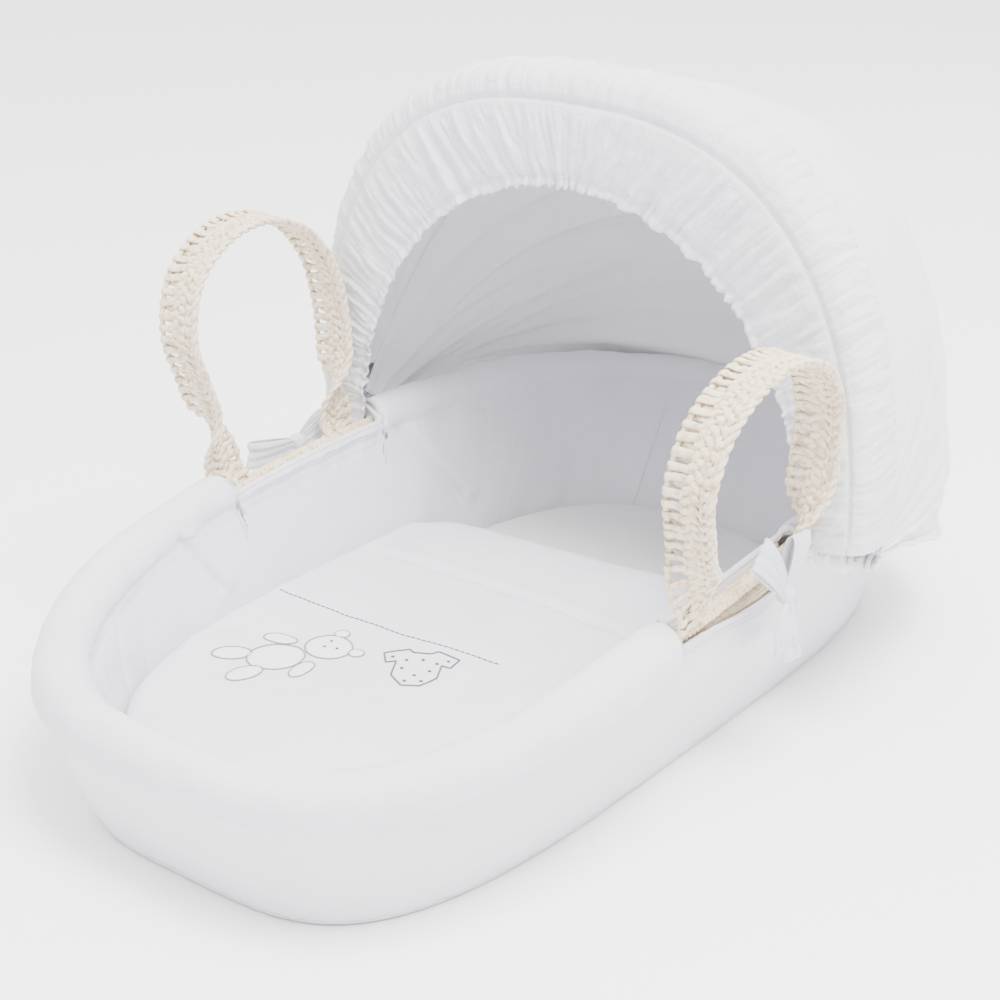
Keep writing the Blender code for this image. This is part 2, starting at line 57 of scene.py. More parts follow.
RIM = (0.231, 0.420, 2.95, -0.0565, 0.0)
BASE = (0.1726, 0.386, 3.86, 0.013, 0.0066)
FLOOR = (0.1575, 0.3295, 3.1, 0.0, -0.0345)
HX, HZ = 0.2235, 0.160
HY0, HY1 = -0.103, 0.038
CUT0, CUT1 = -0.126, 0.073
PY, PZ = 0.096, 0.149
HA, HB, HN = 0.262, 0.3365, 2.64
PHI_FRONT, PHI_MID, PHI_REAR = -3.0, 29.3, 64.0
RNG = np.random.default_rng(7)

# --------------------------------------------------------------------- camera
def camera():
    az, el, dist, f, cx, cy, roll = math.radians(38.7375), math.radians(24.3777), 1.608, 2018.85, 405.47, 551.84, 0.0039
    back = Vector((math.sin(az) * math.cos(el), -math.cos(az) * math.cos(el), math.sin(el)))
    r0 = Vector((math.cos(az), math.sin(az), 0.0))
    u0 = back.cross(r0)
    r = r0 * math.cos(roll) + u0 * math.sin(roll)
    u = u0 * math.cos(roll) - r0 * math.sin(roll)
    cam = bpy.data.cameras.new("camera")
    cam.sensor_width = 36.0
    cam.lens = f * 0.036
    cam.shift_x = (500.0 - cx) / 1000.0
    cam.shift_y = (cy - 500.0) / 1000.0
    cam.dof.use_dof = False
    cam.clip_end = 50
    ob = bpy.data.objects.new("camera", cam)
    c = Vector((-0.064, -0.0633 + YS, 0.12)) + back * dist
    ob.matrix_world = Matrix(((r.x, u.x, back.x, c.x), (r.y, u.y, back.y, c.y), (r.z, u.z, back.z, c.z), (0, 0, 0, 1)))
    bpy.context.scene.collection.objects.link(ob)
    bpy.context.scene.camera = ob
    return ob


CAM = camera()

# ------------------------------------------------------------------ utilities
def smooth(x):
    x = np.clip(x, 0.0, 1.0)
    return x * x * (3 - 2 * x)


def nz(P, scale, seed=0.0):
    """Smooth noise at points, about -1..1."""
    P = np.asarray(P, float) * scale + seed * 17.31
    return np.array([noise.noise(Vector(p)) for p in P.reshape(-1, 3)]).reshape(P.shape[:-1]) * 1.8


def new_object(name, me, mat=None):
    ob = bpy.data.objects.new(name, me)
    bpy.context.scene.collection.objects.link(ob)
    if mat is not None:
        me.materials.append(mat)
    return ob


def mesh_from(name, verts, quads, mat=None, uv=None, shade=True):
    verts = np.asarray(verts, np.float32).reshape(-1, 3)
    quads = np.asarray(quads, np.int32).reshape(-1, 4)
    me = bpy.data.meshes.new(name)
    me.vertices.add(len(verts))
    me.vertices.foreach_set("co", verts.ravel())
    me.loops.add(len(quads) * 4)
    me.loops.foreach_set("vertex_index", quads.ravel())
    me.polygons.add(len(quads))
    me.polygons.foreach_set("loop_start", np.arange(len(quads), dtype=np.int32) * 4)
    me.update(calc_edges=True)
    if uv is not None:
        layer = me.uv_layers.new(name="UVMap")
        layer.data.foreach_set("uv", np.asarray(uv, np.float32).reshape(-1, 2)[quads.ravel()].ravel())
    me.validate()
    if shade:
        me.shade_smooth()
    return new_object(name, me, mat)


def grid_quads(nr, nc, closed=False, keep=None):
    """Quads of nr rows by nc columns; keep(j, i) says which stay."""
    j, i = np.meshgrid(np.arange(nr - 1), np.arange(nc if closed else nc - 1), indexing="ij")
    k = (i + 1) % nc
    q = np.stack([j * nc + i, j * nc + k, (j + 1) * nc + k, (j + 1) * nc + i], -1).reshape(-1, 4)
    if keep is not None:
        q = q[keep(j, i).reshape(-1)]
    return q


def normals(G, closed=False):
    """Normals of a grid of points, rows by columns."""
    if closed:
        du = np.roll(G, -1, 1) - np.roll(G, 1, 1)
    else:
        du = np.gradient(G, axis=1)
    dv = np.gradient(G, axis=0)
    n = np.cross(du, dv)
    return n / (np.linalg.norm(n, axis=-1, keepdims=True) + 1e-12)


def drop_loose(ob):
    bm = bmesh.new()
    bm.from_mesh(ob.data)
    loose = [v for v in bm.verts if not v.link_faces]
    bmesh.ops.delete(bm, geom=loose, context="VERTS")
    bm.to_mesh(ob.data)
    bm.free()


def thicken(ob, t, offset=-1.0, sub=0):
    m = ob.modifiers.new("thickness", "SOLIDIFY")
    m.thickness = t
    m.offset = offset
    m.use_even_offset = False
    m.use_rim = True
    if sub:
        s = ob.modifiers.new("sub", "SUBSURF")
        s.levels = s.render_levels = sub
    return ob


def apply_all(ob):
    dg = bpy.context.evaluated_depsgraph_get()
    dg.update()
    me = bpy.data.meshes.new_from_object(ob.evaluated_get(dg), preserve_all_data_layers=True, depsgraph=dg)
    old = ob.data
    ob.modifiers.clear()
    ob.data = me
    bpy.data.meshes.remove(old)
    return ob


def outline(t, shape, inset=0.0):
    a, b, n, k, y0 = shape
    c, s = np.cos(t), np.sin(t)
    yy = np.sign(s) * np.abs(s) ** (2.0 / n)
    x = (a - inset) * np.sign(c) * np.abs(c) ** (2.0 / n) * (1.0 + k * yy * (b - inset) / b)
    return x, (b - inset) * yy + y0


def rim_h(y):
    s = y / RIM[1]
    return 0.176 + 0.018 * s - 0.036 * s * s


def even_t(count, shape=RIM, inset=0.0):
    tt = np.linspace(0, 2 * np.pi, 8001)
    x, y = outline(tt, shape, inset)
    acc = np.concatenate([[0], np.cumsum(np.hypot(np.diff(x), np.diff(y)))])
    return np.interp(np.arange(count) / count * acc[-1], acc, tt), acc[-1]


def pt(x, y, z):
    return np.stack([x, y + YS, np.broadcast_to(z, np.shape(x))], -1)


def rim_ring(t, inset, dz):
    x, y = outline(t, RIM, inset)
    return pt(x, y, rim_h(outline(t, RIM)[1]) + dz)


def skin_ring(t, z, inset):
    xb, yb = outline(t, BASE, inset)
    xr, yr = outline(t, RIM, inset)
    w = z / (rim_h(outline(t, RIM)[1]) - 0.020)
    return pt(xb + (xr - xb) * w, yb + (yr - yb) * w, z)


def tube_curve(name, pts, r, mat, cyclic=False, res=3, smooth_spline=False):
    cu = bpy.data.curves.new(name, "CURVE")
    cu.dimensions = "3D"
    cu.bevel_depth = r
    cu.bevel_resolution = res
    cu.use_fill_caps = True
    for path in pts:
        s = cu.splines.new("POLY")
        s.points.add(len(path) - 1)
        s.points.foreach_set("co", np.concatenate([np.asarray(path, float), np.ones((len(path), 1))], 1).ravel())
        s.use_cyclic_u = cyclic
        s.use_smooth = True
    ob = bpy.data.objects.new(name, cu)
    if mat is not None:
        cu.materials.append(mat)
    bpy.context.scene.collection.objects.link(ob)
    return ob


def curve_to_mesh(ob):
    dg = bpy.context.evaluated_depsgraph_get()
    dg.update()
    me = bpy.data.meshes.new_from_object(ob.evaluated_get(dg))
    name, mats = ob.name, list(ob.data.materials)
    bpy.data.objects.remove(ob, do_unlink=True)
    new = bpy.data.objects.new(name, me)
    bpy.context.scene.collection.objects.link(new)
    if not me.materials and mats:
        me.materials.append(mats[0])
    me.shade_smooth()
    return new


# ------------------------------------------------------------------ materials
def principled(name, colour, rough, metal=0.0, sheen=0.0, spec=0.3):
    m = bpy.data.materials.new(name)
    m.use_nodes = True
    nt = m.node_tree
    b = nt.nodes["Principled BSDF"]
    b.inputs["Base Color"].default_value = (*colour, 1)
    b.inputs["Roughness"].default_value = rough
    b.inputs["Metallic"].default_value = metal
    b.inputs["Specular IOR Level"].default_value = spec
    b.inputs["Sheen Weight"].default_value = sheen
    b.inputs["Sheen Roughness"].default_value = 0.5
    return m, nt, b


def node(nt, kind, **kw):
    n = nt.nodes.new(kind)
    for k, v in kw.items():
        if k.startswith("i_"):
            n.inputs[k[2:].replace("_", " ")].default_value = v
        else:
            setattr(n, k, v)
    return n


def cotton(name, colour, dark=0.94, weave=0.0009, bump=0.20, crease=0.35, sheen=0.15, rough=0.85, crease_scale=22.0):
    """Plain cotton: thread grain, soft tonal drift and fine creases."""
    m, nt, b = principled(name, colour, rough, sheen=sheen)
    L = nt.links
    tc = node(nt, "ShaderNodeTexCoord")
    big = node(nt, "ShaderNodeTexNoise")
    big.inputs["Scale"].default_value = 9.0
    big.inputs["Detail"].default_value = 3.0
    L.new(tc.outputs["Object"], big.inputs["Vector"])
    ramp = node(nt, "ShaderNodeMapRange")
    ramp.inputs["From Min"].default_value = 0.3
    ramp.inputs["From Max"].default_value = 0.7
    ramp.inputs["To Min"].default_value = dark
    ramp.inputs["To Max"].default_value = 1.0
    L.new(big.outputs["Fac"], ramp.inputs["Value"])
    grain = node(nt, "ShaderNodeTexNoise")
    grain.inputs["Scale"].default_value = 1.0 / weave
    grain.inputs["Detail"].default_value = 2.0
    L.new(tc.outputs["Object"], grain.inputs["Vector"])
    gr = node(nt, "ShaderNodeMapRange")
    gr.inputs["To Min"].default_value = 0.975
    gr.inputs["To Max"].default_value = 1.02
    L.new(grain.outputs["Fac"], gr.inputs["Value"])
    mul = node(nt, "ShaderNodeMath", operation="MULTIPLY")
    L.new(ramp.outputs["Result"], mul.inputs[0])
    L.new(gr.outputs["Result"], mul.inputs[1])
    mix = node(nt, "ShaderNodeVectorMath", operation="SCALE")
    mix.inputs[0].default_value = colour
    L.new(mul.outputs[0], mix.inputs["Scale"])
    L.new(mix.outputs["Vector"], b.inputs["Base Color"])
    # threads, two directions, in object space
    waves = []
    for ax in ("X", "Y", "Z"):
        w = node(nt, "ShaderNodeTexWave", wave_type="BANDS", bands_direction=ax)
        w.inputs["Scale"].default_value = 0.16 / weave
        w.inputs["Distortion"].default_value = 1.5
        w.inputs["Detail"].default_value = 1.0
        L.new(tc.outputs["Object"], w.inputs["Vector"])
        waves.append(w)
    add = node(nt, "ShaderNodeMath", operation="ADD")
    L.new(waves[0].outputs["Fac"], add.inputs[0])
    L.new(waves[1].outputs["Fac"], add.inputs[1])
    add2 = node(nt, "ShaderNodeMath", operation="ADD")
    L.new(add.outputs[0], add2.inputs[0])
    L.new(waves[2].outputs["Fac"], add2.inputs[1])
    cre = node(nt, "ShaderNodeTexNoise")
    cre.inputs["Scale"].default_value = crease_scale
    cre.inputs["Detail"].default_value = 6.0
    cre.inputs["Roughness"].default_value = 0.55
    cre.inputs["Distortion"].default_value = 0.6
    L.new(tc.outputs["Object"], cre.inputs["Vector"])
    b1 = node(nt, "ShaderNodeBump")
    b1.inputs["Strength"].default_value = crease
    b1.inputs["Distance"].default_value = 0.006
    L.new(cre.outputs["Fac"], b1.inputs["Height"])
    b2 = node(nt, "ShaderNodeBump")
    b2.inputs["Strength"].default_value = bump
    b2.inputs["Distance"].default_value = 0.0004
    L.new(add2.outputs[0], b2.inputs["Height"])
    L.new(b1.outputs["Normal"], b2.inputs["Normal"])
    b3 = node(nt, "ShaderNodeBump")
    b3.inputs["Strength"].default_value = bump
    b3.inputs["Distance"].default_value = 0.0005
    L.new(grain.outputs["Fac"], b3.inputs["Height"])
    L.new(b2.outputs["Normal"], b3.inputs["Normal"])
    L.new(b3.outputs["Normal"], b.inputs["Normal"])
    return m


def palm(name, colour, strand=0.0022):
    """Palm leaf: fine fibres along the piece, tonal patches, dull gloss."""
    m, nt, b = principled(name, colour, 0.72, sheen=0.0, spec=0.35)
    L = nt.links
    tc = node(nt, "ShaderNodeTexCoord")
    big = node(nt, "ShaderNodeTexNoise")
    big.inputs["Scale"].default_value = 240.0
    big.inputs["Detail"].default_value = 5.0
    L.new(tc.outputs["Object"], big.inputs["Vector"])
    ramp = node(nt, "ShaderNodeValToRGB")
    ramp.color_ramp.elements[0].position = 0.33
    ramp.color_ramp.elements[0].color = (colour[0] * 0.72, colour[1] * 0.62, colour[2] * 0.48, 1)
    ramp.color_ramp.elements[1].position = 0.55
    ramp.color_ramp.elements[1].color = (*colour, 1)
    L.new(big.outputs["Fac"], ramp.inputs["Fac"])
    L.new(ramp.outputs["Color"], b.inputs["Base Color"])
    mp = node(nt, "ShaderNodeMapping")
    mp.inputs["Scale"].default_value = (260, 260, 1400)
    L.new(tc.outputs["Object"], mp.inputs["Vector"])
    fib = node(nt, "ShaderNodeTexNoise")
    fib.inputs["Scale"].default_value = 1.0
    fib.inputs["Detail"].default_value = 3.0
    L.new(mp.outputs["Vector"], fib.inputs["Vector"])
    bp = node(nt, "ShaderNodeBump")
    bp.inputs["Strength"].default_value = 0.5
    bp.inputs["Distance"].default_value = 0.0006
    L.new(fib.outputs["Fac"], bp.inputs["Height"])
    L.new(bp.outputs["Normal"], b.inputs["Normal"])
    return m


def weave_palm(name, colour):
    """Plain woven palm wall: over-and-under strips from a brick pattern in UV metres, with painted shade in the gaps
    between them.
    """
    m, nt, b = principled(name, colour, 0.75, spec=0.3)
    L = nt.links
    uv = node(nt, "ShaderNodeUVMap", uv_map="UVMap")
    br = node(nt, "ShaderNodeTexBrick")
    br.inputs["Scale"].default_value = 1.0
    br.inputs["Brick Width"].default_value = 0.011
    br.inputs["Row Height"].default_value = 0.0055
    br.inputs["Mortar Size"].default_value = 0.0006
    br.inputs["Mortar Smooth"].default_value = 0.6
    br.inputs["Color1"].default_value = (*colour, 1)
    br.inputs["Color2"].default_value = (colour[0] * 0.9, colour[1] * 0.87, colour[2] * 0.8, 1)
    # painted shade: the mortar colour darkens the gaps between the strips, where shade falls
    br.inputs["Mortar"].default_value = (colour[0] * 0.62, colour[1] * 0.57, colour[2] * 0.48, 1)
    L.new(uv.outputs["UV"], br.inputs["Vector"])
    L.new(br.outputs["Color"], b.inputs["Base Color"])
    inv = node(nt, "ShaderNodeMath", operation="SUBTRACT")
    inv.inputs[0].default_value = 1.0
    L.new(br.outputs["Fac"], inv.inputs[1])
    bp = node(nt, "ShaderNodeBump")
    bp.inputs["Strength"].default_value = 0.8
    bp.inputs["Distance"].default_value = 0.0015
    L.new(inv.outputs[0], bp.inputs["Height"])
    L.new(bp.outputs["Normal"], b.inputs["Normal"])
    return m


def plain(name, colour, rough, metal=0.0, scale=300.0, amount=0.06, spec=0.4):
    """Moulded or plated finish with slight roughness variation and a fine bump."""
    m, nt, b = principled(name, colour, rough, metal, spec=spec)
    L = nt.links
    tc = node(nt, "ShaderNodeTexCoord")
    n1 = node(nt, "ShaderNodeTexNoise")
    n1.inputs["Scale"].default_value = scale
    n1.inputs["Detail"].default_value = 3.0
    L.new(tc.outputs["Object"], n1.inputs["Vector"])
    mr = node(nt, "ShaderNodeMapRange")
    mr.inputs["To Min"].default_value = max(rough - amount, 0.05)
    mr.inputs["To Max"].default_value = rough + amount
    L.new(n1.outputs["Fac"], mr.inputs["Value"])
    L.new(mr.outputs["Result"], b.inputs["Roughness"])
    bp = node(nt, "ShaderNodeBump")
    bp.inputs["Strength"].default_value = 0.15
    bp.inputs["Distance"].default_value = 0.0002
    L.new(n1.outputs["Fac"], bp.inputs["Height"])
    L.new(bp.outputs["Normal"], b.inputs["Normal"])
    return m


WHITE = cotton("liner_cotton", (0.76, 0.755, 0.81))
SKIRT = cotton("skirt_cotton", (0.78, 0.77, 0.82), crease=0.25)
HOODM = cotton("hood_cotton", (0.80, 0.795, 0.845), crease=0.25)
LINING = cotton("lining_cotton", (0.88, 0.88, 0.89), crease=0.25)
FRILLM = cotton("frill_cotton", (0.76, 0.76, 0.81), crease=0.5, crease_scale=60.0)
QUILT = cotton("coverlet_cotton", (0.75, 0.745, 0.80), crease=0.35, crease_scale=14.0)
SHEET = cotton("sheet_jersey", (0.77, 0.77, 0.775), weave=0.0012, crease=0.2)
RIBBON = cotton("ribbon_cotton", (0.68, 0.685, 0.75), crease=0.4, crease_scale=70.0)
PALM = palm("palm_strand", (0.80, 0.70, 0.55))
PALM_RIM = palm("palm_rim", (0.78, 0.67, 0.51))
PALM_WALL = weave_palm("palm_weave", (0.76, 0.65, 0.49))
THREAD = cotton("grey_thread", (0.11, 0.11, 0.115), weave=0.0006, crease=0.3, crease_scale=400.0)
THREAD_W = cotton("white_thread", (0.70, 0.69, 0.73), weave=0.0006, crease=0.3, crease_scale=400.0)
WIREM = plain("coated_wire", (0.75, 0.75, 0.76), 0.4)
PLASTICM = plain("white_plastic", (0.80, 0.80, 0.80), 0.42)
STEELM = plain("zinc_steel", (0.62, 0.62, 0.64), 0.35, 1.0)
FOAMM = plain("mattress_foam", (0.80, 0.77, 0.66), 0.9, scale=500.0)

# ------------------------------------------------------------------- the set
def studio():
    white = bpy.data.materials.new("floor")
    white.use_nodes = True
    nt = white.node_tree
    b = nt.nodes["Principled BSDF"]
    b.inputs["Base Color"].default_value = (0.96, 0.96, 0.965, 1)
    b.inputs["Roughness"].default_value = 0.9
    b.inputs["Specular IOR Level"].default_value = 0.1
    quads = [(0, 1, 2, 3)]
    s = 14.0
    fl = mesh_from("floor", [(-s, -s, 0), (s, -s, 0), (s, s, 0), (-s, s, 0)], quads, white, shade=False)
    w = bpy.data.worlds.new("studio")
    bpy.context.scene.world = w
    w.use_nodes = True
    bg = w.node_tree.nodes["Background"]
    bg.inputs["Color"].default_value = (0.985, 0.99, 1.0, 1)
    wt = w.node_tree
    tc = node(wt, "ShaderNodeTexCoord")
    sep = node(wt, "ShaderNodeSeparateXYZ")
    mr = node(wt, "ShaderNodeMapRange")
    mr.inputs["From Min"].default_value = 0.0
    mr.inputs["From Max"].default_value = 0.85
    mr.inputs["To Min"].default_value = 0.95
    mr.inputs["To Max"].default_value = 3.7
    wt.links.new(tc.outputs["Generated"], sep.inputs["Vector"])
    wt.links.new(sep.outputs["Z"], mr.inputs["Value"])
    wt.links.new(mr.outputs["Result"], bg.inputs["Strength"])

    def lamp(name, loc, target, size, power, colour=(1, 1, 1)):
        la = bpy.data.lights.new(name, "AREA")
        la.size = size
        la.energy = power
        la.color = colour
        ob = bpy.data.objects.new(name, la)
        d = Vector(target) - Vector(loc)
        ob.rotation_euler = d.to_track_quat("-Z", "Y").to_euler()
        ob.location = loc
        bpy.context.scene.collection.objects.link(ob)
        return ob

    lamp("key", (0.95, -0.45, 2.5), (0.0, 0.0, 0.15), 1.1, 150.0, (1.0, 0.995, 0.985))
    lamp("fill", (-2.2, -1.2, 1.3), (0.0, 0.0, 0.2), 2.0, 9.0, (0.97, 0.98, 1.0))
    lamp("back", (0.6, 2.2, 1.7), (0.0, 0.2, 0.25), 1.6, 30.0)


studio()

# -------------------------------------------------------- woven palm basket
def basket():
    n = 260
    ts, L = even_t(n)
    zs = np.linspace(0.0008, 1.0, 9)
    rows, uv = [], []
    for f in zs:
        top = rim_h(outline(ts, RIM)[1]) - 0.0345
        z = 0.0008 + (top - 0.0008) * f
        w = z / top
        inset = 0.0065 + (0.0175 - 0.0065) * w
        xb, yb = outline(ts, BASE, 0)
        x0, y0 = outline(ts, BASE, inset)
        x1, y1 = outline(ts, RIM, inset)
        ww = z / (rim_h(outline(ts, RIM)[1]) - 0.020)
        rows.append(pt(x0 + (x1 - x0) * ww, y0 + (y1 - y0) * ww, z))
        uv.append(np.stack([np.arange(n) / n * L, z], -1))
    G = np.array(rows)
    ob = mesh_from("basket_wall_weave", G, grid_quads(len(zs), n, True), PALM_WALL, uv=np.array(uv))
    thicken(ob, 0.0062, 0.0)
    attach(ob, "root")
    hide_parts("basket_wall")
    # oval base, woven too
    m = 26
    rr = np.linspace(0.03, 1.0, m)
    tb, Lb = even_t(200, BASE, 0.012)
    bx, by = outline(tb, BASE, 0.012)
    rows, uv = [], []
    for r in rr:
        rows.append(pt(bx * r, BASE[4] + (by - BASE[4]) * r, 0.0040))
        uv.append(np.stack([bx * r, by * r], -1))
    ob = mesh_from("basket_base_weave", np.array(rows), grid_quads(m, 200, True), PALM_WALL, uv=np.array(uv))
    bm = bmesh.new()
    bm.from_mesh(ob.data)
    inner = [e for e in bm.edges if e.is_boundary and max(abs(v.co.x) for v in e.verts) < 0.03]
    bmesh.ops.holes_fill(bm, edges=inner, sides=0)
    bmesh.ops.recalc_face_normals(bm, faces=bm.faces)
    bm.to_mesh(ob.data)
    bm.free()
    thicken(ob, 0.0065, 0.0)
    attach(ob, "root")
    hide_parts("basket_base")
    # plaited edge, three strands
    n = 1500
    t, L = even_t(n)
    waves = round(L / 0.017)
    th = np.arange(n) / n * 2 * np.pi * waves
    base = rim_ring(t, 0.0205, -0.0215)
    inn = rim_ring(t, 0.0305, -0.0215)
    side = inn - base
    side[:, 2] = 0
    side /= np.linalg.norm(side, axis=1, keepdims=True)
    paths = []
    for k in range(3):
        a = th + 2 * np.pi * k / 3
        p = base + side * (0.0036 * np.sin(a))[:, None]
        p[:, 2] += 0.0018 * np.sin(2 * a) + 0.0005
        paths.append(p)
    ob = curve_to_mesh(tube_curve("rim_plait", paths, 0.0031, PALM_RIM, cyclic=True, res=2))
    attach(ob, "root")
    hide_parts("rim_braid")


basket()

# -------------------------------------------------------------- strap handles
HPATH = [(-.103, .004), (-.108, .032), (-.124, .078), (-.136, .122), (-.123, .165), (-.087, .191), (-.043, .197),
         (.002, .182), (.033, .146), (.044, .100), (.044, .060), (.040, .028), (.038, .004)]
RISE = {1: 0.92, -1: 1.0}


def catmull(P, steps):
    P = np.asarray(P, float)
    Q = np.vstack([P[:1], P, P[-1:]])
    out = []
    for i in range(1, len(Q) - 2):
        for k in range(steps):
            u = k / steps
            a, b, c, d = Q[i - 1], Q[i], Q[i + 1], Q[i + 2]
            out.append(0.5 * (2 * b + (c - a) * u + (2 * a - 5 * b + 4 * c - d) * u * u + (3 * b - a - 3 * c + d) * u ** 3))
    out.append(Q[-2])
    return np.array(out)


def resample(P, step):
    d = np.linalg.norm(np.diff(P, axis=0), axis=1)
    acc = np.concatenate([[0], np.cumsum(d)])
    n = int(acc[-1] / step) + 1
    s = np.linspace(0, acc[-1], n)
    return np.stack([np.interp(s, acc, P[:, k]) for k in range(P.shape[1])], 1), s


def strap_frame(side):
    """Centre line, width and thickness directions of one strap, feet included."""
    pts = [(y, 0.004 + (z - 0.004) * RISE[side]) for y, z in HPATH]
    core = catmull(pts, 24)
    core, s = resample(core, 0.0016)
    total = s[-1]
    lean = math.tan(math.radians(5.0))
    d = np.gradient(core, axis=0)
    d /= np.linalg.norm(d, axis=1, keepdims=True)
    along = np.stack([np.zeros(len(d)), d[:, 0], d[:, 1]], 1)
    nin = np.stack([np.zeros(len(d)), -d[:, 1], d[:, 0]], 1)
    e = np.minimum(s, total - s)
    u = smooth((e - 0.006) / 0.055)
    ang = (1 - u) * np.pi / 2
    if side > 0:
        ang = -ang
    else:
        ang[len(ang) // 2:] *= -1
    wide = np.array([1.0, 0, 0])[None] * np.cos(ang)[:, None] + nin * np.sin(ang)[:, None]
    C = np.stack([side * (HX + lean * core[:, 1]), core[:, 0] + YS, core[:, 1] + HZ], 1)
    # feet: down the outside of the palm wall, under the skirt
    down = np.arange(1, 24) * 0.0016

    def foot(c0, w0):
        z = c0[2] - down
        yf = np.full(len(down), c0[1])
        w = smooth(down / 0.021)
        x = np.abs(c0[0]) - 0.0185 * w
        return np.stack([side * x, yf, z], 1), np.repeat(w0[None], len(down), 0)

    a, wa = foot(C[0], wide[0])
    b, wb = foot(C[-1], wide[-1])
    C = np.vstack([a[::-1], C, b])
    wide = np.vstack([wa[::-1], wide, wb])
    tang = np.gradient(C, axis=0)
    tang /= np.linalg.norm(tang, axis=1, keepdims=True)
    wide -= tang * np.sum(wide * tang, 1, keepdims=True)
    wide /= np.linalg.norm(wide, axis=1, keepdims=True)
    thin = np.cross(tang, wide)
    step = np.linalg.norm(np.diff(C, axis=0), axis=1)
    S = np.concatenate([[0], np.cumsum(step)])
    return C, wide, thin, tang, S


def strand(C, W, N, hw, ht, sides=8):
    """Sweep of an oval section: hw half width along W, ht half thickness along N."""
    a = np.arange(sides) / sides * 2 * np.pi
    ca, sa = np.cos(a), np.sin(a)
    V = C[:, None] + W[:, None] * (hw * ca)[None, :, None] + N[:, None] * (ht * sa)[None, :, None]
    n = len(C)
    V = np.concatenate([C[:1, None].repeat(sides, 1) * 0.9 + V[:1] * 0.1, V, C[-1:, None].repeat(sides, 1) * 0.9 + V[-1:] * 0.1])
    return V, grid_quads(n + 2, sides, True)


def handle(name, side):
    C, W, N, T, S = strap_frame(side)
    L = S[-1]
    parts = []
    # middle plait: three flat leaf strands
    wl = L / round(L / 0.023)
    for k in range(3):
        a = 2 * np.pi * S / wl + 2 * np.pi * k / 3
        c = C + W * (0.0008 + 0.0050 * np.sin(a))[:, None] + N * (0.0013 * np.sin(2 * a))[:, None]
        parts.append((c, 0.0031, 0.0016))
    # thin edge cord on one side, thick twisted one on the other
    parts.append((C + W * -0.0178 + N * (0.0003 * np.sin(S * 300))[:, None], 0.0021, 0.0017))
    wl2 = L / round(L / 0.019)
    for k in range(2):
        a = 2 * np.pi * S / wl2 + np.pi * k
        c = C + W * (0.0168 + 0.0013 * np.cos(a))[:, None] + N * (0.0014 * np.sin(a))[:, None]
        parts.append((c, 0.0022, 0.0017))
    # two strands crossing between the plait and the thick edge: small holes
    for k in range(2):
        a = 2 * np.pi * S / (wl * 0.75) + np.pi * k + 0.6
        c = C + W * (0.0112 + 0.0030 * np.cos(a))[:, None] + N * (0.0011 * np.sin(2 * a + k))[:, None]
        parts.append((c, 0.0025, 0.0013))
    # rungs from the plait round the thin edge cord: large square holes
    count = int(round(L / 0.0094))
    prof = np.array([(-0.0030, 0.0004), (-0.0070, 0.0014), (-0.0120, 0.0012), (-0.0165, 0.0026), (-0.0192, 0.0016),
                     (-0.0192, -0.0016), (-0.0165, -0.0026), (-0.0110, -0.0012), (-0.0040, -0.0014)])
    prof, _ = resample(catmull(prof, 4), 0.0012)
    rungs = []
    for i in range(count):
        s0 = (i + 0.5) / count * L
        j = int(np.clip(np.searchsorted(S, s0), 1, len(S) - 2))
        tilt = 0.0016 * math.sin(i * 2.3) + 0.0022
        sl = np.linspace(-1, 1, len(prof)) * tilt
        c = C[j] + W[j] * prof[:, :1] + N[j] * prof[:, 1:2] + T[j] * sl[:, None]
        rungs.append((c, T[j], 0.0031 + 0.0004 * math.sin(i * 1.7)))
    V, Q, off = [], [], 0
    for j, (c, hw, ht) in enumerate(parts):
        wob = 1 + 0.10 * nz(np.stack([S * 60, np.full(len(S), j * 3.1), np.full(len(S), side * 1.0)], 1), 1.0)
        tg = np.gradient(c, axis=0)
        tg /= np.linalg.norm(tg, axis=1, keepdims=True)
        w = W - tg * np.sum(W * tg, 1, keepdims=True)
        w /= np.linalg.norm(w, axis=1, keepdims=True)
        n = np.cross(tg, w)
        v, q = strand(c, w * wob[:, None], n, hw, ht)
        V.append(v.reshape(-1, 3))
        Q.append(q + off)
        off += V[-1].shape[0]
    for c, tdir, hw in rungs:
        tg = np.gradient(c, axis=0)
        tg /= np.linalg.norm(tg, axis=1, keepdims=True)
        w = tdir[None] - tg * np.sum(tdir[None] * tg, 1, keepdims=True)
        w /= np.linalg.norm(w, axis=1, keepdims=True)
        v, q = strand(c, w, np.cross(tg, w), hw, 0.0012)
        V.append(v.reshape(-1, 3))
        Q.append(q + off)
        off += V[-1].shape[0]
    ob = mesh_from(name, np.vstack(V), np.vstack(Q), PALM)
    bm = bmesh.new()
    bm.from_mesh(ob.data)
    bmesh.ops.holes_fill(bm, edges=[e for e in bm.edges if e.is_boundary], sides=0)
    bmesh.ops.recalc_face_normals(bm, faces=bm.faces)
    bm.to_mesh(ob.data)
    bm.free()
    nm = "left" if side < 0 else "right"
    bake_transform(ob, "root", "strap_" + nm, start=(side * HX, 0.0, 0.146), end=(side * HX, 0.0, 0.188))
    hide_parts("handle_" + nm, "strap_end_%s_foot" % nm, "strap_end_%s_head" % nm)


handle("woven_strap_left", -1)
handle("woven_strap_right", 1)

# --------------------------------------------------------------------- liner
def ridge(P, scale, seed=0.0, power=1.0):
    """Noise with soft hills and sharper valleys, 0..1."""
    v = 1.0 - np.abs(np.clip(nz(P, scale, seed), -1, 1))
    return v ** power


def in_cut(t):
    """1 inside the gap that each handle needs, 0 elsewhere."""
    x, y = outline(t, RIM)
    return smooth((y - (CUT0 - 0.004)) / 0.008) * smooth(((CUT1 + 0.004) - y) / 0.008)


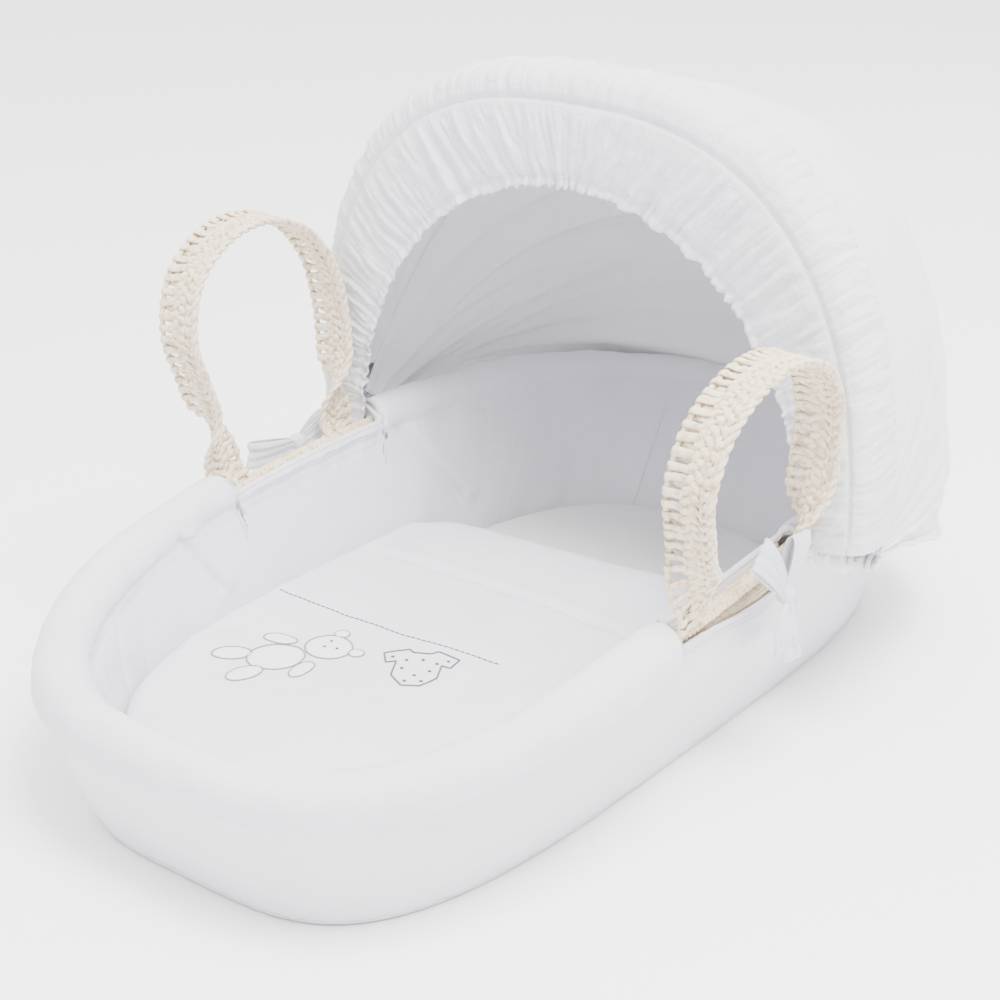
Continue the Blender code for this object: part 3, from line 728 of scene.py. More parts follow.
def bumper_profile(t, rows):
    """Middle surface of the padded liner: up the inside, over the rim, down outside."""
    n = len(t)
    fx, fy = outline(t, FLOOR)
    foot = pt(fx, fy, 0.0150)
    top = rim_ring(t, 0.0335, -0.0300)
    P = []
    for f in np.linspace(0, 1, 40)[:-1]:
        P.append(foot + (top - foot) * f)
    for a in np.radians(np.linspace(180, 0, 25)):
        P.append(rim_ring(t, 0.0195 - 0.0145 * math.cos(a), -0.0195 + 0.0145 * math.sin(a)))
    P.append(rim_ring(t, 0.0047, -0.0280))
    P.append(rim_ring(t, 0.0050, -0.0350))
    P = np.array(P)                                  # profile, columns, xyz
    seg = np.linalg.norm(np.diff(P, axis=0), axis=2)
    acc = np.concatenate([np.zeros((1, n)), np.cumsum(seg, 0)])
    full = acc[-1]
    cut = acc[39] + 0.0030
    m = in_cut(t)
    length = full + (cut - full) * m
    u = np.linspace(0, 1, rows)
    G = np.empty((rows, n, 3))
    H = np.empty((rows, n))
    for i in range(n):
        s = u * length[i]
        for k in range(3):
            G[:, i, k] = np.interp(s, acc[:, i], P[:, i, k])
        H[:, i] = s / acc[39, i]                     # 1 at the top of the inside wall
    return G, H


def line_dent(Y, Z, a, b, width):
    """0..1 nearness to the straight line a-b in the (y, z) plane."""
    a, b = np.array(a), np.array(b)
    d = b - a
    L = np.hypot(*d)
    d = d / L
    s = (Y - a[0]) * d[0] + (Z - a[1]) * d[1]
    q = -(Y - a[0]) * d[1] + (Z - a[1]) * d[0]
    e = smooth((s + 0.008) / 0.016) * smooth((L + 0.008 - s) / 0.016)
    return e * np.exp(-(q / width) ** 2), e * np.clip(q / width, -1, 1)


def liner():
    n = 900
    t, L = even_t(n)
    s = np.arange(n) / n * L
    rows = 84
    G, H = bumper_profile(t, rows)
    N = normals(G, True)
    # make the normals point to the visible side: inward on the wall, up on the roll
    mid = G[rows // 3]
    flip = np.sign(-(N[rows // 3] * (mid - np.array([0, YS, mid[0, 2]]))).sum(1).mean())
    N *= flip
    ring = np.stack([np.cos(s / L * 2 * np.pi) * L / 2 / np.pi, np.sin(s / L * 2 * np.pi) * L / 2 / np.pi], -1)
    R3 = np.concatenate([np.broadcast_to(ring, (rows, n, 2)), (H * 0.13)[..., None]], -1)
    roll = smooth((H - 0.86) / 0.14)
    wall = 1 - roll
    d = np.zeros((rows, n))
    d += 0.0020 * np.sin(np.clip(H, 0, 1) * np.pi) * wall                      # padding swells
    d += 0.0016 * nz(R3, 9.0, 1)                                             # slack
    d += 0.0006 * nz(R3 * np.array([1, 1, 0.5]), 26.0, 2)                    # soft upright folds
    fold = ridge(R3 * np.array([1, 1, 0.25]), 46.0, 3, 3.0)
    d -= 0.0013 * fold * (0.12 + 0.88 * np.exp(-((H - 0.95) / 0.07) ** 2))     # puckers under the roll
    d -= 0.0014 * np.exp(-((H - 0.965) / 0.022) ** 2)                         # seam between wall and roll
    fine = nz(R3 * np.array([1, 1, 0.6]), 75.0, 4)
    d += 0.00045 * fine * (0.4 + 0.6 * roll)
    # slack at the foot end, inside
    Y, Z = G[..., 1] - YS, G[..., 2]
    footy = smooth((-0.20 - Y) / 0.12) * wall
    d += footy * (0.0028 * nz(R3, 17.0, 5) - 0.0022 * ridge(R3 * np.array([1, 1, 0.5]), 26.0, 6, 4.0))
    # cross seams of the lining, left and right
    for x_side in (-1, 1):
        on = (np.sign(G[..., 0]) == x_side) & (H < 1.0)
        for a, b in (((-0.196, 0.150), (-0.160, 0.086)), ((0.085, 0.150), (0.142, 0.070))):
            e, q = line_dent(Y, Z, a, b, 0.0032)
            d -= np.where(on, 0.0036 * e, 0)
            e2, _ = line_dent(Y - 0.012, Z, a, b, 0.010)
            d += np.where(on, 0.0034 * e2, 0)
    # gathers below the hems of the handle gaps
    m = in_cut(t)[None] * np.ones((rows, 1))
    up = np.clip(1 - np.abs(H - 1.0) / 0.16, 0, 1)
    d += m * up * 0.0012 * nz(R3 * np.array([1, 1, 0.2]), 85.0, 7)
    t_pad = 0.0088
    e = np.ones(rows)
    u = np.linspace(0, 1, rows)
    edge = np.minimum(u, 1 - u) * 0.20 / t_pad
    e = np.sqrt(np.clip(1 - (1 - np.clip(edge, 0, 1)) ** 2, 0.10, 1))[:, None]
    front = G + N * (t_pad / 2 * e + d * e)[..., None]
    back = G - N * (t_pad / 2 * e)[..., None]
    ALL = np.concatenate([front, back[::-1]], 0)
    q = grid_quads(2 * rows, n, True)
    last = np.arange(n)
    nxt = (last + 1) % n
    tail = (2 * rows - 1) * n
    q = np.vstack([q, np.stack([tail + last, tail + nxt, nxt, last], -1)])
    ob = mesh_from("liner_padding", ALL, q, WHITE)
    bm = bmesh.new()
    bm.from_mesh(ob.data)
    bmesh.ops.recalc_face_normals(bm, faces=bm.faces)
    bm.to_mesh(ob.data)
    bm.free()
    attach(ob, "root")
    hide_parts("liner_bumper")

    # rolled hems round the gaps, stitched twice
    hems, lines = [], []
    for x_side in (1, -1):
        sel = np.where((in_cut(t) > 0.02) & (np.sign(outline(t, RIM)[0]) == x_side))[0]
        if (np.diff(sel) > 1).any():
            k = np.where(np.diff(sel) > 1)[0][0] + 1
            sel = np.concatenate([sel[k:], sel[:k]])
        path = (front[-1, sel] + back[-1, sel]) / 2
        hems.append(path)
        for back_by in (0.0045, 0.0070):
            r = rows - 1 - int(round(back_by / 0.0020))
            lines.append(front[r, sel][6:-6] + N[r, sel][6:-6] * 0.0001)
    ob = curve_to_mesh(tube_curve("gap_hem_binding", hems, 0.0027, WHITE, res=3))
    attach(ob, "root")
    ob = curve_to_mesh(tube_curve("gap_hem_stitches", lines, 0.00035, THREAD_W, res=1))
    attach(ob, "root")

    # gathered ends of the padded rim, closed round the palm edge
    for x_side in (1, -1):
        for yc, ya in ((CUT0 - 0.009, -1), (CUT1 + 0.009, 1)):
            k = int(np.argmin(np.abs(outline(t, RIM)[1] - yc) + 10 * (np.sign(outline(t, RIM)[0]) != x_side)))
            c = rim_ring(t[k:k + 1], 0.0195, -0.0215)[0]
            al, az = np.meshgrid(np.linspace(0.12, np.pi - 0.12, 15), np.linspace(0, 2 * np.pi, 40, endpoint=False), indexing="ij")
            D = np.stack([np.sin(al) * np.cos(az), np.cos(al), np.sin(al) * np.sin(az)], -1)
            rr = 1 + 0.10 * nz(D * np.array([3.0, 0.8, 3.0]), 1.0, 70 + x_side + ya)
            P = c + D * rr[..., None] * np.array([0.0105, 0.0125, 0.0130])
            plug = mesh_from("rim_end_gather", P, grid_quads(15, 40, True), WHITE)
            bm = bmesh.new()
            bm.from_mesh(plug.data)
            bmesh.ops.holes_fill(bm, edges=[e for e in bm.edges if e.is_boundary], sides=0)
            bmesh.ops.recalc_face_normals(bm, faces=bm.faces)
            bm.to_mesh(plug.data)
            bm.free()
            plug.data.shade_smooth()
            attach(plug, "root")

    # upright piped seam at the head end
    i = int(np.argmin(np.abs(front[rows // 2, :, 0] + 0.083) + 10 * (front[rows // 2, :, 1] < 0)))
    sel = slice(4, int(rows * 0.60))
    seam = front[sel, i] + N[sel, i] * 0.0002
    ob = curve_to_mesh(tube_curve("head_seam_piping", [seam], 0.0012, WHITE, res=3))
    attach(ob, "root")
    return t, front, N


def skirt_top(t):
    """Height of the top edge of the outer cloth."""
    x, y = outline(t, RIM)
    z = rim_h(y) - 0.0205
    gap = 0.1465 - 0.0165 * smooth((y + 0.117) / 0.135)
    m = smooth((y - (CUT0 - 0.004)) / 0.008) * smooth((0.068 - y) / 0.036)
    return z + (gap - z) * m


def skirt():
    n = 1000
    t, L = even_t(n)
    s = np.arange(n) / n * L
    rows = 64
    ztop = skirt_top(t)
    z0 = 0.0046
    fr = np.linspace(0, 1, rows) ** 0.9
    fr = np.concatenate([fr[:1], fr[1:]])
    G = np.empty((rows, n, 3))
    for j, f in enumerate(fr):
        z = z0 + (ztop - z0) * f
        tuck = smooth((z - (rim_h(outline(t, RIM)[1]) - 0.036)) / 0.012) * (1 - in_cut(t))
        inset = 0.0006 + 0.0016 * tuck + 0.0108 * smooth((z - 0.098) / 0.034) * in_cut(t)
        G[j] = skin_ring(t, z, inset)
        # outward offset from the palm wall, scaled by zero here, so the cloth follows the palm wall
        out = 0.0012 * np.sin(np.pi * f)
        G[j, :, 0] += np.sign(G[j, :, 0]) * 0.0 * out
    N = normals(G, True)
    c = np.array([0, YS, 0])
    if (N[rows // 2] * (G[rows // 2] - c)).sum() < 0:
        N = -N
    ring = np.stack([np.cos(s / L * 2 * np.pi) * L / 2 / np.pi, np.sin(s / L * 2 * np.pi) * L / 2 / np.pi], -1)
    R3 = np.concatenate([np.broadcast_to(ring, (rows, n, 2)), G[..., 2:3]], -1)
    F = fr[:, None]
    low = smooth(F / 0.18)
    near_top = np.exp(-((1 - F) / 0.16) ** 2)
    d = 0.0010 + 0.0013 * nz(R3 * np.array([1, 1, 0.6]), 8.0, 11) * low
    d += 0.0009 * nz(R3 * np.array([1, 1, 0.30]), 24.0, 12) * low
    d -= 0.0010 * ridge(R3 * np.array([1, 1, 0.22]), 30.0, 13, 4.0) * (0.3 + 0.7 * near_top) * low
    d += 0.00028 * nz(R3, 90.0, 14)
    d += 0.0007 * nz(R3 * np.array([1, 1, 0.15]), 120.0, 15) * np.exp(-(F / 0.06) ** 2)
    m = in_cut(t)[None]
    d += m * 0.0011 * ridge(R3 * np.array([1, 1, 0.15]), 95.0, 16, 1.5) * np.exp(-((1 - F) / 0.22) ** 2)
    d *= smooth((1 - F) / 0.05) * 0.75 + 0.25
    d = np.clip(d, -0.0012, 0.0026)
    G = G + N * d[..., None]
    ob = mesh_from("liner_skirt_cloth", G, grid_quads(rows, n, True), SKIRT)
    thicken(ob, 0.0010, 0.0)
    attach(ob, "root")
    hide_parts("liner_skirt")
    # hem band at the two gaps, and its stitch lines
    hems, lines = [], []
    for x_side in (1, -1):
        sel = np.where((in_cut(t) > 0.35) & (np.sign(outline(t, RIM)[0]) == x_side))[0]
        if (np.diff(sel) > 1).any():
            k = np.where(np.diff(sel) > 1)[0][0] + 1
            sel = np.concatenate([sel[k:], sel[:k]])
        hems.append(G[-1, sel] + N[-1, sel] * 0.0003)
        for r in (rows - 4, rows - 6):
            lines.append(G[r, sel] + N[r, sel] * 0.0006)
    ob = curve_to_mesh(tube_curve("skirt_gap_hem", hems, 0.0013, SKIRT, res=3))
    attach(ob, "root")
    ob = curve_to_mesh(tube_curve("skirt_gap_stitches", lines, 0.0003, THREAD_W, res=1))
    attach(ob, "root")
    # rolled elastic edge at the foot
    p = skin_ring(t, 0.0030, 0.0010)
    nn = N[0].copy()
    nn[:, 2] = 0
    wob = nz(np.concatenate([ring, np.zeros((n, 1))], 1), 130.0, 17)
    p = p + nn * (0.0004 * wob)[:, None]
    p[:, 2] += 0.0002 * wob
    ob = curve_to_mesh(tube_curve("skirt_foot_elastic", [p], 0.0018, SKIRT, cyclic=True, res=3))
    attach(ob, "root")
    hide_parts("skirt_hem_cord")


LT, LFRONT, LN = liner()
skirt()


# ------------------------------------------------------- mattress and sheet
def mattress_sheet():
    shape = (0.1515, 0.322, 3.1, 0.0, -0.036)
    n = 300
    t, L = even_t(n, shape)
    prof = [(0.034, 0.0116)]
    for k in np.linspace(0, 1, 5):
        q = np.pi / 2 * k
        prof.append((0.008 * (1 - math.sin(q)) - 0.0006 * math.sin(q), 0.0125 + 0.008 * (1 - math.cos(q)) - 0.0006 * math.cos(q)))
    for z in np.linspace(0.022, 0.039, 4):
        prof.append((-0.0006, z))
    for k in np.linspace(1, 0, 6):
        q = np.pi / 2 * k
        prof.append((0.0085 * (1 - math.sin(q)) - 0.0006 * math.sin(q), 0.0485 - 0.0085 * (1 - math.cos(q)) + 0.0008 * math.cos(q)))
    for r in np.linspace(0.02, 0.146, 22):
        prof.append((r, 0.0493))
    G = []
    for inset, z in prof:
        x, y = outline(t, shape, inset)
        G.append(pt(x, y, z))
    G = np.array(G)
    J = np.arange(len(prof))[:, None] / len(prof)
    d = 0.0010 * nz(G, 14.0, 21) + 0.0005 * nz(G * np.array([1, 0.5, 1]), 50.0, 22)
    top = (J > 0.52)
    G[..., 2] += np.where(top, np.clip(d, -0.0012, 0.0013), 0)
    ob = mesh_from("sheet_cloth", G, grid_quads(len(prof), n, True), SHEET)
    bm = bmesh.new()
    bm.from_mesh(ob.data)
    inner = [e for e in bm.edges if e.is_boundary and max(v.co.z for v in e.verts) > 0.04]
    bmesh.ops.holes_fill(bm, edges=inner, sides=0)
    bmesh.ops.recalc_face_normals(bm, faces=bm.faces)
    bm.to_mesh(ob.data)
    bm.free()
    thicken(ob, 0.0008, 1.0)
    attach(ob, "mattress")
    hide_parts("fitted_sheet")


mattress_sheet()


# ------------------------------------------------------------------ coverlet
def coverlet():
    shape = (0.1655, 0.3265, 3.0, 0.0, -0.0395)
    n = 420
    t, L = even_t(n, shape)
    x, y = outline(t, shape)
    y = np.minimum(y, 0.106 + 0.10 * x - 0.022 * smooth((-x - 0.125) / 0.045))
    # even spacing along the outline
    P = np.stack([x, y], 1)
    Q = np.vstack([P, P[:1]])
    d = np.linalg.norm(np.diff(Q, axis=0), axis=1)
    acc = np.concatenate([[0], np.cumsum(d)])
    sg = np.linspace(0, acc[-1], n + 1)[:-1]
    P = np.stack([np.interp(sg, acc, Q[:, 0]), np.interp(sg, acc, Q[:, 1])], 1)
    c = np.array([0.0, -0.100])
    rings = np.concatenate([np.linspace(0.02, 0.93, 60), np.linspace(0.94, 1.0, 12)])
    top, bot = [], []
    z0, T = 0.0512, 0.0292
    for r in rings:
        p = c + (P - c) * r
        edge = np.clip((1 - r) / 0.085, 0, 1)
        h = math.sqrt(max(1 - (1 - edge) ** 2, 0.0))
        top.append(np.concatenate([p, np.full((n, 1), z0 + T * (0.54 + 0.46 * h))], 1))
        bot.append(np.concatenate([p, np.full((n, 1), z0 + T * 0.54 * (1 - h))], 1))
    top, bot = np.array(top), np.array(bot)
    X, Y = top[..., 0], top[..., 1]
    F3 = np.stack([X, Y, np.zeros_like(X)], -1)
    k = smooth((1 - rings) / 0.06)[:, None]
    dz = 0.0022 * nz(F3, 7.0, 31) + 0.0010 * nz(F3 * np.array([1.0, 0.5, 1]), 24.0, 32) + 0.00035 * nz(F3, 70.0, 33)
    # slack and creases along the foot and left edges
    rim_w = smooth((rings - 0.55) / 0.4)[:, None] * smooth((-0.02 - Y) / 0.16)
    dz -= rim_w * 0.0030 * ridge(F3, 15.0, 34, 5.0)
    dz += rim_w * 0.0022 * nz(F3, 20.0, 35)
    # turned head band: a line of stitching across, with small puckers
    ys = 0.0010 - 0.42 * (X + 0.01) ** 2
    dd = Y - ys
    dz -= 0.0030 * np.exp(-(dd / 0.0045) ** 2)
    dz += 0.0010 * np.exp(-((dd - 0.011) / 0.008) ** 2) - 0.0007 * smooth(dd / 0.01)
    dz += 0.0007 * nz(F3 * np.array([1, 0.25, 1]), 95.0, 36) * np.exp(-(dd / 0.013) ** 2)
    top[..., 2] += dz * k
    ALL = np.concatenate([top, bot[::-1][1:]], 0)
    m = len(ALL)
    V = ALL.copy()
    V[..., 1] += YS
    ob = mesh_from("coverlet_quilt", V, grid_quads(m, n, True), QUILT)
    bm = bmesh.new()
    bm.from_mesh(ob.data)
    bmesh.ops.holes_fill(bm, edges=[e for e in bm.edges if e.is_boundary], sides=0)
    bmesh.ops.recalc_face_normals(bm, faces=bm.faces)
    bm.to_mesh(ob.data)
    bm.free()
    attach(ob, "quilt")
    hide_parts("coverlet")
    return ob


QUILT_OB = coverlet()


def surface_z(ob):
    from mathutils.bvhtree import BVHTree
    bm = bmesh.new()
    bm.from_mesh(ob.data)
    tree = BVHTree.FromBMesh(bm)

    def z(x, y):
        hit = tree.ray_cast(Vector((x, y + YS, 0.2)), Vector((0, 0, -1)))
        return hit[0].z if hit[0] is not None else 0.078
    return z


def stitchery():
    zf = surface_z(QUILT_OB)

    def lay(path, lift=0.0002, step=0.0012, closed=False):
        P = np.asarray(path, float)
        if closed:
            P = np.vstack([P, P[:1]])
        P, s = resample(P, step)
        if closed:
            P = P[:-1]
        return np.array([[x, y + YS, zf(x, y) + lift] for x, y in P])

    def dashes(path, on=0.0030, off=0.0012, **kw):
        P, s = resample(np.asarray(path, float), 0.0005)
        out, a = [], 0.0
        while a + on < s[-1]:
            i, j = np.searchsorted(s, a), np.searchsorted(s, a + on)
            seg = P[i:j + 1]
            if len(seg) >= 2:
                pts = np.array([[x, y + YS, zf(x, y)] for x, y in seg[:: max(1, len(seg) // 4)]])
                u = np.linspace(0, 1, len(pts))
                pts[:, 2] += 0.0005 * np.sin(np.pi * u) - 0.0001
                out.append(pts)
            a += on + off
        return out

    # one long line of running stitch across the coverlet
    u = np.linspace(0, 1, 60)
    line = np.stack([-0.151 + 0.218 * u, -0.1172 + 0.0086 * u - 0.0045 * np.sin(np.pi * u)], 1)
    grey = dashes(line, 0.0042, 0.0008)
    # seated bear, drawn as plain rounds: body, head, ears, arms, legs
    def oval(cx, cy, a, b, rot=0.0, k=40, wob=0.0):
        q = np.linspace(0, 2 * np.pi, k, endpoint=False)
        u, v = a * np.cos(q), b * np.sin(q)
        c, s = math.cos(rot), math.sin(rot)
        return np.stack([cx + u * c - v * s, cy + u * s + v * c], 1)

    cx, cy = -0.068, -0.192

    def turn(P, ox, oy, deg, k=1.0):
        a = math.radians(deg)
        x, y = (P[:, 0] - ox) * k, (P[:, 1] - oy) * k
        return np.stack([ox + x * math.cos(a) - y * math.sin(a), oy + x * math.sin(a) + y * math.cos(a)], 1)

    rounds = [oval(cx, cy - 0.014, 0.0185, 0.0205), oval(cx, cy + 0.0245, 0.0180, 0.0165),
              oval(cx - 0.0155, cy + 0.0395, 0.0058, 0.0056), oval(cx + 0.0155, cy + 0.0395, 0.0058, 0.0056),
              oval(cx - 0.0245, cy - 0.003, 0.0065, 0.0125, -0.65), oval(cx + 0.0245, cy - 0.003, 0.0065, 0.0125, 0.65),
              oval(cx - 0.0155, cy - 0.041, 0.0085, 0.0140, -0.28), oval(cx + 0.0155, cy - 0.041, 0.0085, 0.0140, 0.28),
              oval(cx, cy + 0.0200, 0.0070, 0.0052)]
    rounds = [turn(r, cx, cy, -31, 1.10) for r in rounds]
    soft = [lay(r, lift=0.0004, closed=True) for r in rounds]
    # raised patches under the outlines
    V, Q, off = [], [], 0
    for r in rounds[:-1]:
        c = r.mean(0)
        m = len(r)
        for k in np.linspace(0.06, 1.0, 9):
            ring = c + (r - c) * k
            h = 0.0011 * math.sqrt(max(1 - k ** 4, 0)) + 0.0001
            V.append(np.array([[x, y + YS, zf(x, y) + h] for x, y in ring]))
        Q.append(grid_quads(9, m, True) + off)
        off += 9 * m
    ob = mesh_from("bear_patches", np.vstack(V), np.vstack(Q), PATCH)
    bm = bmesh.new()
    bm.from_mesh(ob.data)
    small = [e for e in bm.edges if e.is_boundary and e.calc_length() < 0.0004]
    bmesh.ops.holes_fill(bm, edges=small, sides=0)
    bmesh.ops.recalc_face_normals(bm, faces=bm.faces)
    bm.to_mesh(ob.data)
    bm.free()
    thicken(ob, 0.0005, -1.0)
    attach(ob, "quilt")
    # plain vest with dots
    vx, vy = 0.021, -0.155
    vest = np.array([(-.010, .026), (-.026, .018), (-.022, .004), (-.0155, .007), (-.0155, -.012), (-.006, -.026),
                     (.006, -.026), (.0155, -.012), (.0155, .007), (.022, .004), (.026, .018), (.010, .026),
                     (.006, .0215), (-.006, .0215)])
    vest = turn(vest + np.array([vx, vy]), vx, vy, 28, 1.12)
    vest_line = lay(vest, closed=True)
    ob = curve_to_mesh(tube_curve("grey_line_stitch", grey, 0.00055, THREAD, res=2))
    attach(ob, "quilt")
    ob = curve_to_mesh(tube_curve("bear_outline_stitch", soft, 0.00055, THREAD_L, cyclic=True, res=2))
    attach(ob, "quilt")
    ob = curve_to_mesh(tube_curve("vest_outline_stitch", [vest_line], 0.00075, THREAD, cyclic=True, res=2))
    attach(ob, "quilt")
    dots = []
    for a, b in ((-.019, .013), (-.009, .010), (.002, .012), (.012, .009), (.019, .014), (-.010, -.002), (.009, -.003),
                 (0.0, -.010), (-.005, -.019), (.006, -.018)):
        q = np.linspace(0, 2 * np.pi, 9)[:-1]
        dots.append(lay(turn(np.stack([vx + a + 0.0008 * np.cos(q), vy + b + 0.0008 * np.sin(q)], 1), vx, vy, 28, 1.12), step=0.0006, closed=True))
    eyes = []
    for a, b in ((-.0060, .0285), (.0060, .0285), (0.0, .0215)):
        q = np.linspace(0, 2 * np.pi, 9)[:-1]
        eyes.append(lay(turn(np.stack([cx + a + 0.0006 * np.cos(q), cy + b + 0.0006 * np.sin(q)], 1), cx, cy, -31, 1.10), lift=0.0012, step=0.0005, closed=True))
    ob = curve_to_mesh(tube_curve("knot_stitches", dots + eyes, 0.0007, THREAD, cyclic=True, res=2))
    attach(ob, "quilt")


PATCH = cotton("patch_felt", (0.84, 0.84, 0.86), weave=0.0008, crease=0.25, crease_scale=160.0)
THREAD_L = cotton("pale_grey_thread", (0.22, 0.22, 0.23), weave=0.0006, crease=0.3, crease_scale=400.0)
stitchery()


# ---------------------------------------------------------------------- hood
def arch(t, a, b):
    c, s = np.cos(t), np.sin(t)
    return a * np.sign(c) * np.abs(c) ** (2.0 / HN), b * np.sign(s) * np.abs(s) ** (2.0 / HN)


def arch_t(r_end, count, a=HA, b=HB):
    lo = math.asin(min((r_end / b) ** (HN / 2.0), 1.0))
    t = np.linspace(lo, np.pi - lo, 4001)
    x, y = arch(t, a, b)
    acc = np.concatenate([[0], np.cumsum(np.hypot(np.diff(x), np.diff(y)))])
    return np.interp(np.linspace(0, acc[-1], count), acc, t), np.linspace(0, acc[-1], count)


def at(x, r, phi, fwd=0.0):
    a = np.radians(phi)
    return np.stack([x, PY + r * np.sin(a) - fwd * np.cos(a) + YS, PZ + r * np.cos(a) + fwd * np.sin(a)], -1)


def hem_z(y):
    return 0.146 - 0.070 * smooth((y - PY) / 0.30)


PHIS = [PHI_FRONT, PHI_MID, PHI_REAR, 90.0]
DROPS = [-0.0026, 0.0012, 0.0085, 0.0088]


def hood_sheet(inner, phis, skirt_rows=0, nx=260, r_end=0.005, seed=40):
    """Cloth over the hoops; phis run from the front back."""
    t, s = arch_t(r_end, nx)
    mid = np.sin(t) ** 1.0
    rows = []
    P = []
    for phi in phis:
        drop = np.interp(phi, PHIS, DROPS)
        i = int(np.clip(np.searchsorted(PHIS, phi, side="right") - 1, 0, 2))
        f = (phi - PHIS[i]) / (PHIS[i + 1] - PHIS[i])
        sag = (0.0060, 0.0060, 0.0025)[i] * (4 * f * (1 - f)) ** 0.9
        a, b = HA - drop - inner - sag * 0.55, HB - drop - inner - sag * (1.0 if not inner else 1.0)
        x, r = arch(t, a, b)
        out = 0.0024 * smooth((phi - PHI_MID + 0.5) / 0.4) * (1 - smooth((r - 0.03) / 0.07))
        rows.append(at(x + np.sign(x) * out, r, phi))
        P.append(np.stack([s / 0.95, np.full(nx, phi / 90.0), np.zeros(nx)], -1))
    G, P = np.array(rows), np.array(P)
    if skirt_rows:
        last = G[-1]
        hz = hem_z(last[:, 1] - YS)
        add, addP = [], []
        for j in range(1, skirt_rows + 1):
            f = j / skirt_rows
            row = last.copy()
            row[:, 2] = last[:, 2] + (hz - last[:, 2]) * f
            add.append(row)
            q = P[-1].copy()
            q[:, 1] = 1.0 + 0.25 * f
            addP.append(q)
        G = np.concatenate([G, np.array(add)])
        P = np.concatenate([P, np.array(addP)])
    N = normals(G)
    c = np.array([0, PY + YS, PZ])
    if (N * (G - c)).sum() < 0:
        N = -N
    return t, s, G, N, P


def fold_weights(ob, lo, hi):
    """Blend weight from the angle about the pivot line: 0 at hi, 1 at lo."""
    me = ob.data
    co = np.empty(len(me.vertices) * 3, np.float32)
    me.vertices.foreach_get("co", co)
    co = co.reshape(-1, 3)
    r = np.hypot(co[:, 1] - PY - YS, co[:, 2] - PZ)
    phi = np.degrees(np.arctan2(co[:, 1] - PY - YS, co[:, 2] - PZ))
    w = np.clip((hi - phi) / (hi - lo), 0, 1)
    me.attributes["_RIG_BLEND"].data.foreach_set("value", w.astype(np.float32))


FRONT_PHIS = np.concatenate([np.linspace(PHI_FRONT + 0.4, PHI_MID, 34)])
REAR_PHIS = np.concatenate([np.linspace(PHI_MID, PHI_REAR, 36)[:-1], np.linspace(PHI_REAR, 90.0, 22)])


def hood_cloth():
    for name, phis, nsk, pair, lo, hi, nodes, flat in (
            ("hood_cloth_front", FRONT_PHIS, 0, ("hood_mid", "hood_front"), PHI_FRONT, PHI_MID, ("hood_cover_front",), (0.86, 0.16)),
            ("hood_cloth_rear", REAR_PHIS, 18, ("hood_base", "hood_mid"), PHI_MID, 89.0, ("hood_cover_mid", "hood_cover_rear"), (0.86, 0.34))):
        t, s, G, N, P = hood_sheet(0.0, phis, nsk)
        side = (1 - np.sin(t) ** 1.4)[None]
        y = P[..., 1]
        d = 0.0011 * nz(P, 5.0, 41)
        d += side * 0.0030 * nz(P * np.array([0.8, 7.0, 1]), 2.2, 42)          # pull lines from the pivots
        d += 0.0006 * nz(P * np.array([1.0, 1.0, 1]), 16.0, 43)
        if nsk:
            sk = smooth((y - 0.80) / 0.30)
            Q = np.stack([s[None] * np.ones_like(y), y * 0.06, 0 * y], -1)
            d += sk * 0.0036 * nz(Q, 15.0, 44) + sk * 0.0016 * nz(Q, 42.0, 45)
            d = np.where(d < -0.001 - 0.0 * sk, -0.001 + (d + 0.001) * 0.3, d)
        edge = np.minimum(1, np.minimum((phis[:, None] - phis[0]) / 2.5, (phis[-1] - phis[:, None]) / 2.5) + (1 if False else 0))
        k = np.ones_like(y)
        k[:len(phis)] = np.clip((phis[:, None] - phis[0]) / 3.0, 0, 1)
        if not nsk:
            k[:len(phis)] *= np.clip((phis[-1] - phis[:, None]) / 3.0, 0, 1)
        k = k * smooth(np.minimum(s, s[-1] - s) / 0.055)[None]
        G = G + N * (d * k)[..., None]
        ob = mesh_from(name, G, grid_quads(G.shape[0], G.shape[1]), HOODM)
        thicken(ob, 0.0010, 0.0)
        apply_all(ob)
        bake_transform(ob, pair[0], pair[1], start=(0, 0, 0), end=(0, 0, 1))
        fold_weights(ob, lo, hi)
        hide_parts(*nodes)
        if nsk:
            hem = G[-1] + N[-1] * 0.0002
            cord = curve_to_mesh(tube_curve("hood_hem_elastic", [hem], 0.0019, HOODM, res=3))
            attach(cord, "hood_base")
            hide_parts("hood_hem_cord")
            st = [G[-4] + N[-4] * 0.0007]
            cord = curve_to_mesh(tube_curve("hood_hem_stitches", st, 0.0003, THREAD_W, res=1))
            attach(cord, "hood_base")
    # piped seam where the cloth crosses the middle hoop
    t, s, G, N, P = hood_sheet(0.0, np.array([PHI_MID - 0.01, PHI_MID, PHI_MID + 0.01]))
    seam = curve_to_mesh(tube_curve("hood_mid_seam", [G[1] + N[1] * 0.0004], 0.0010, HOODM, res=2))
    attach(seam, "hood_mid")


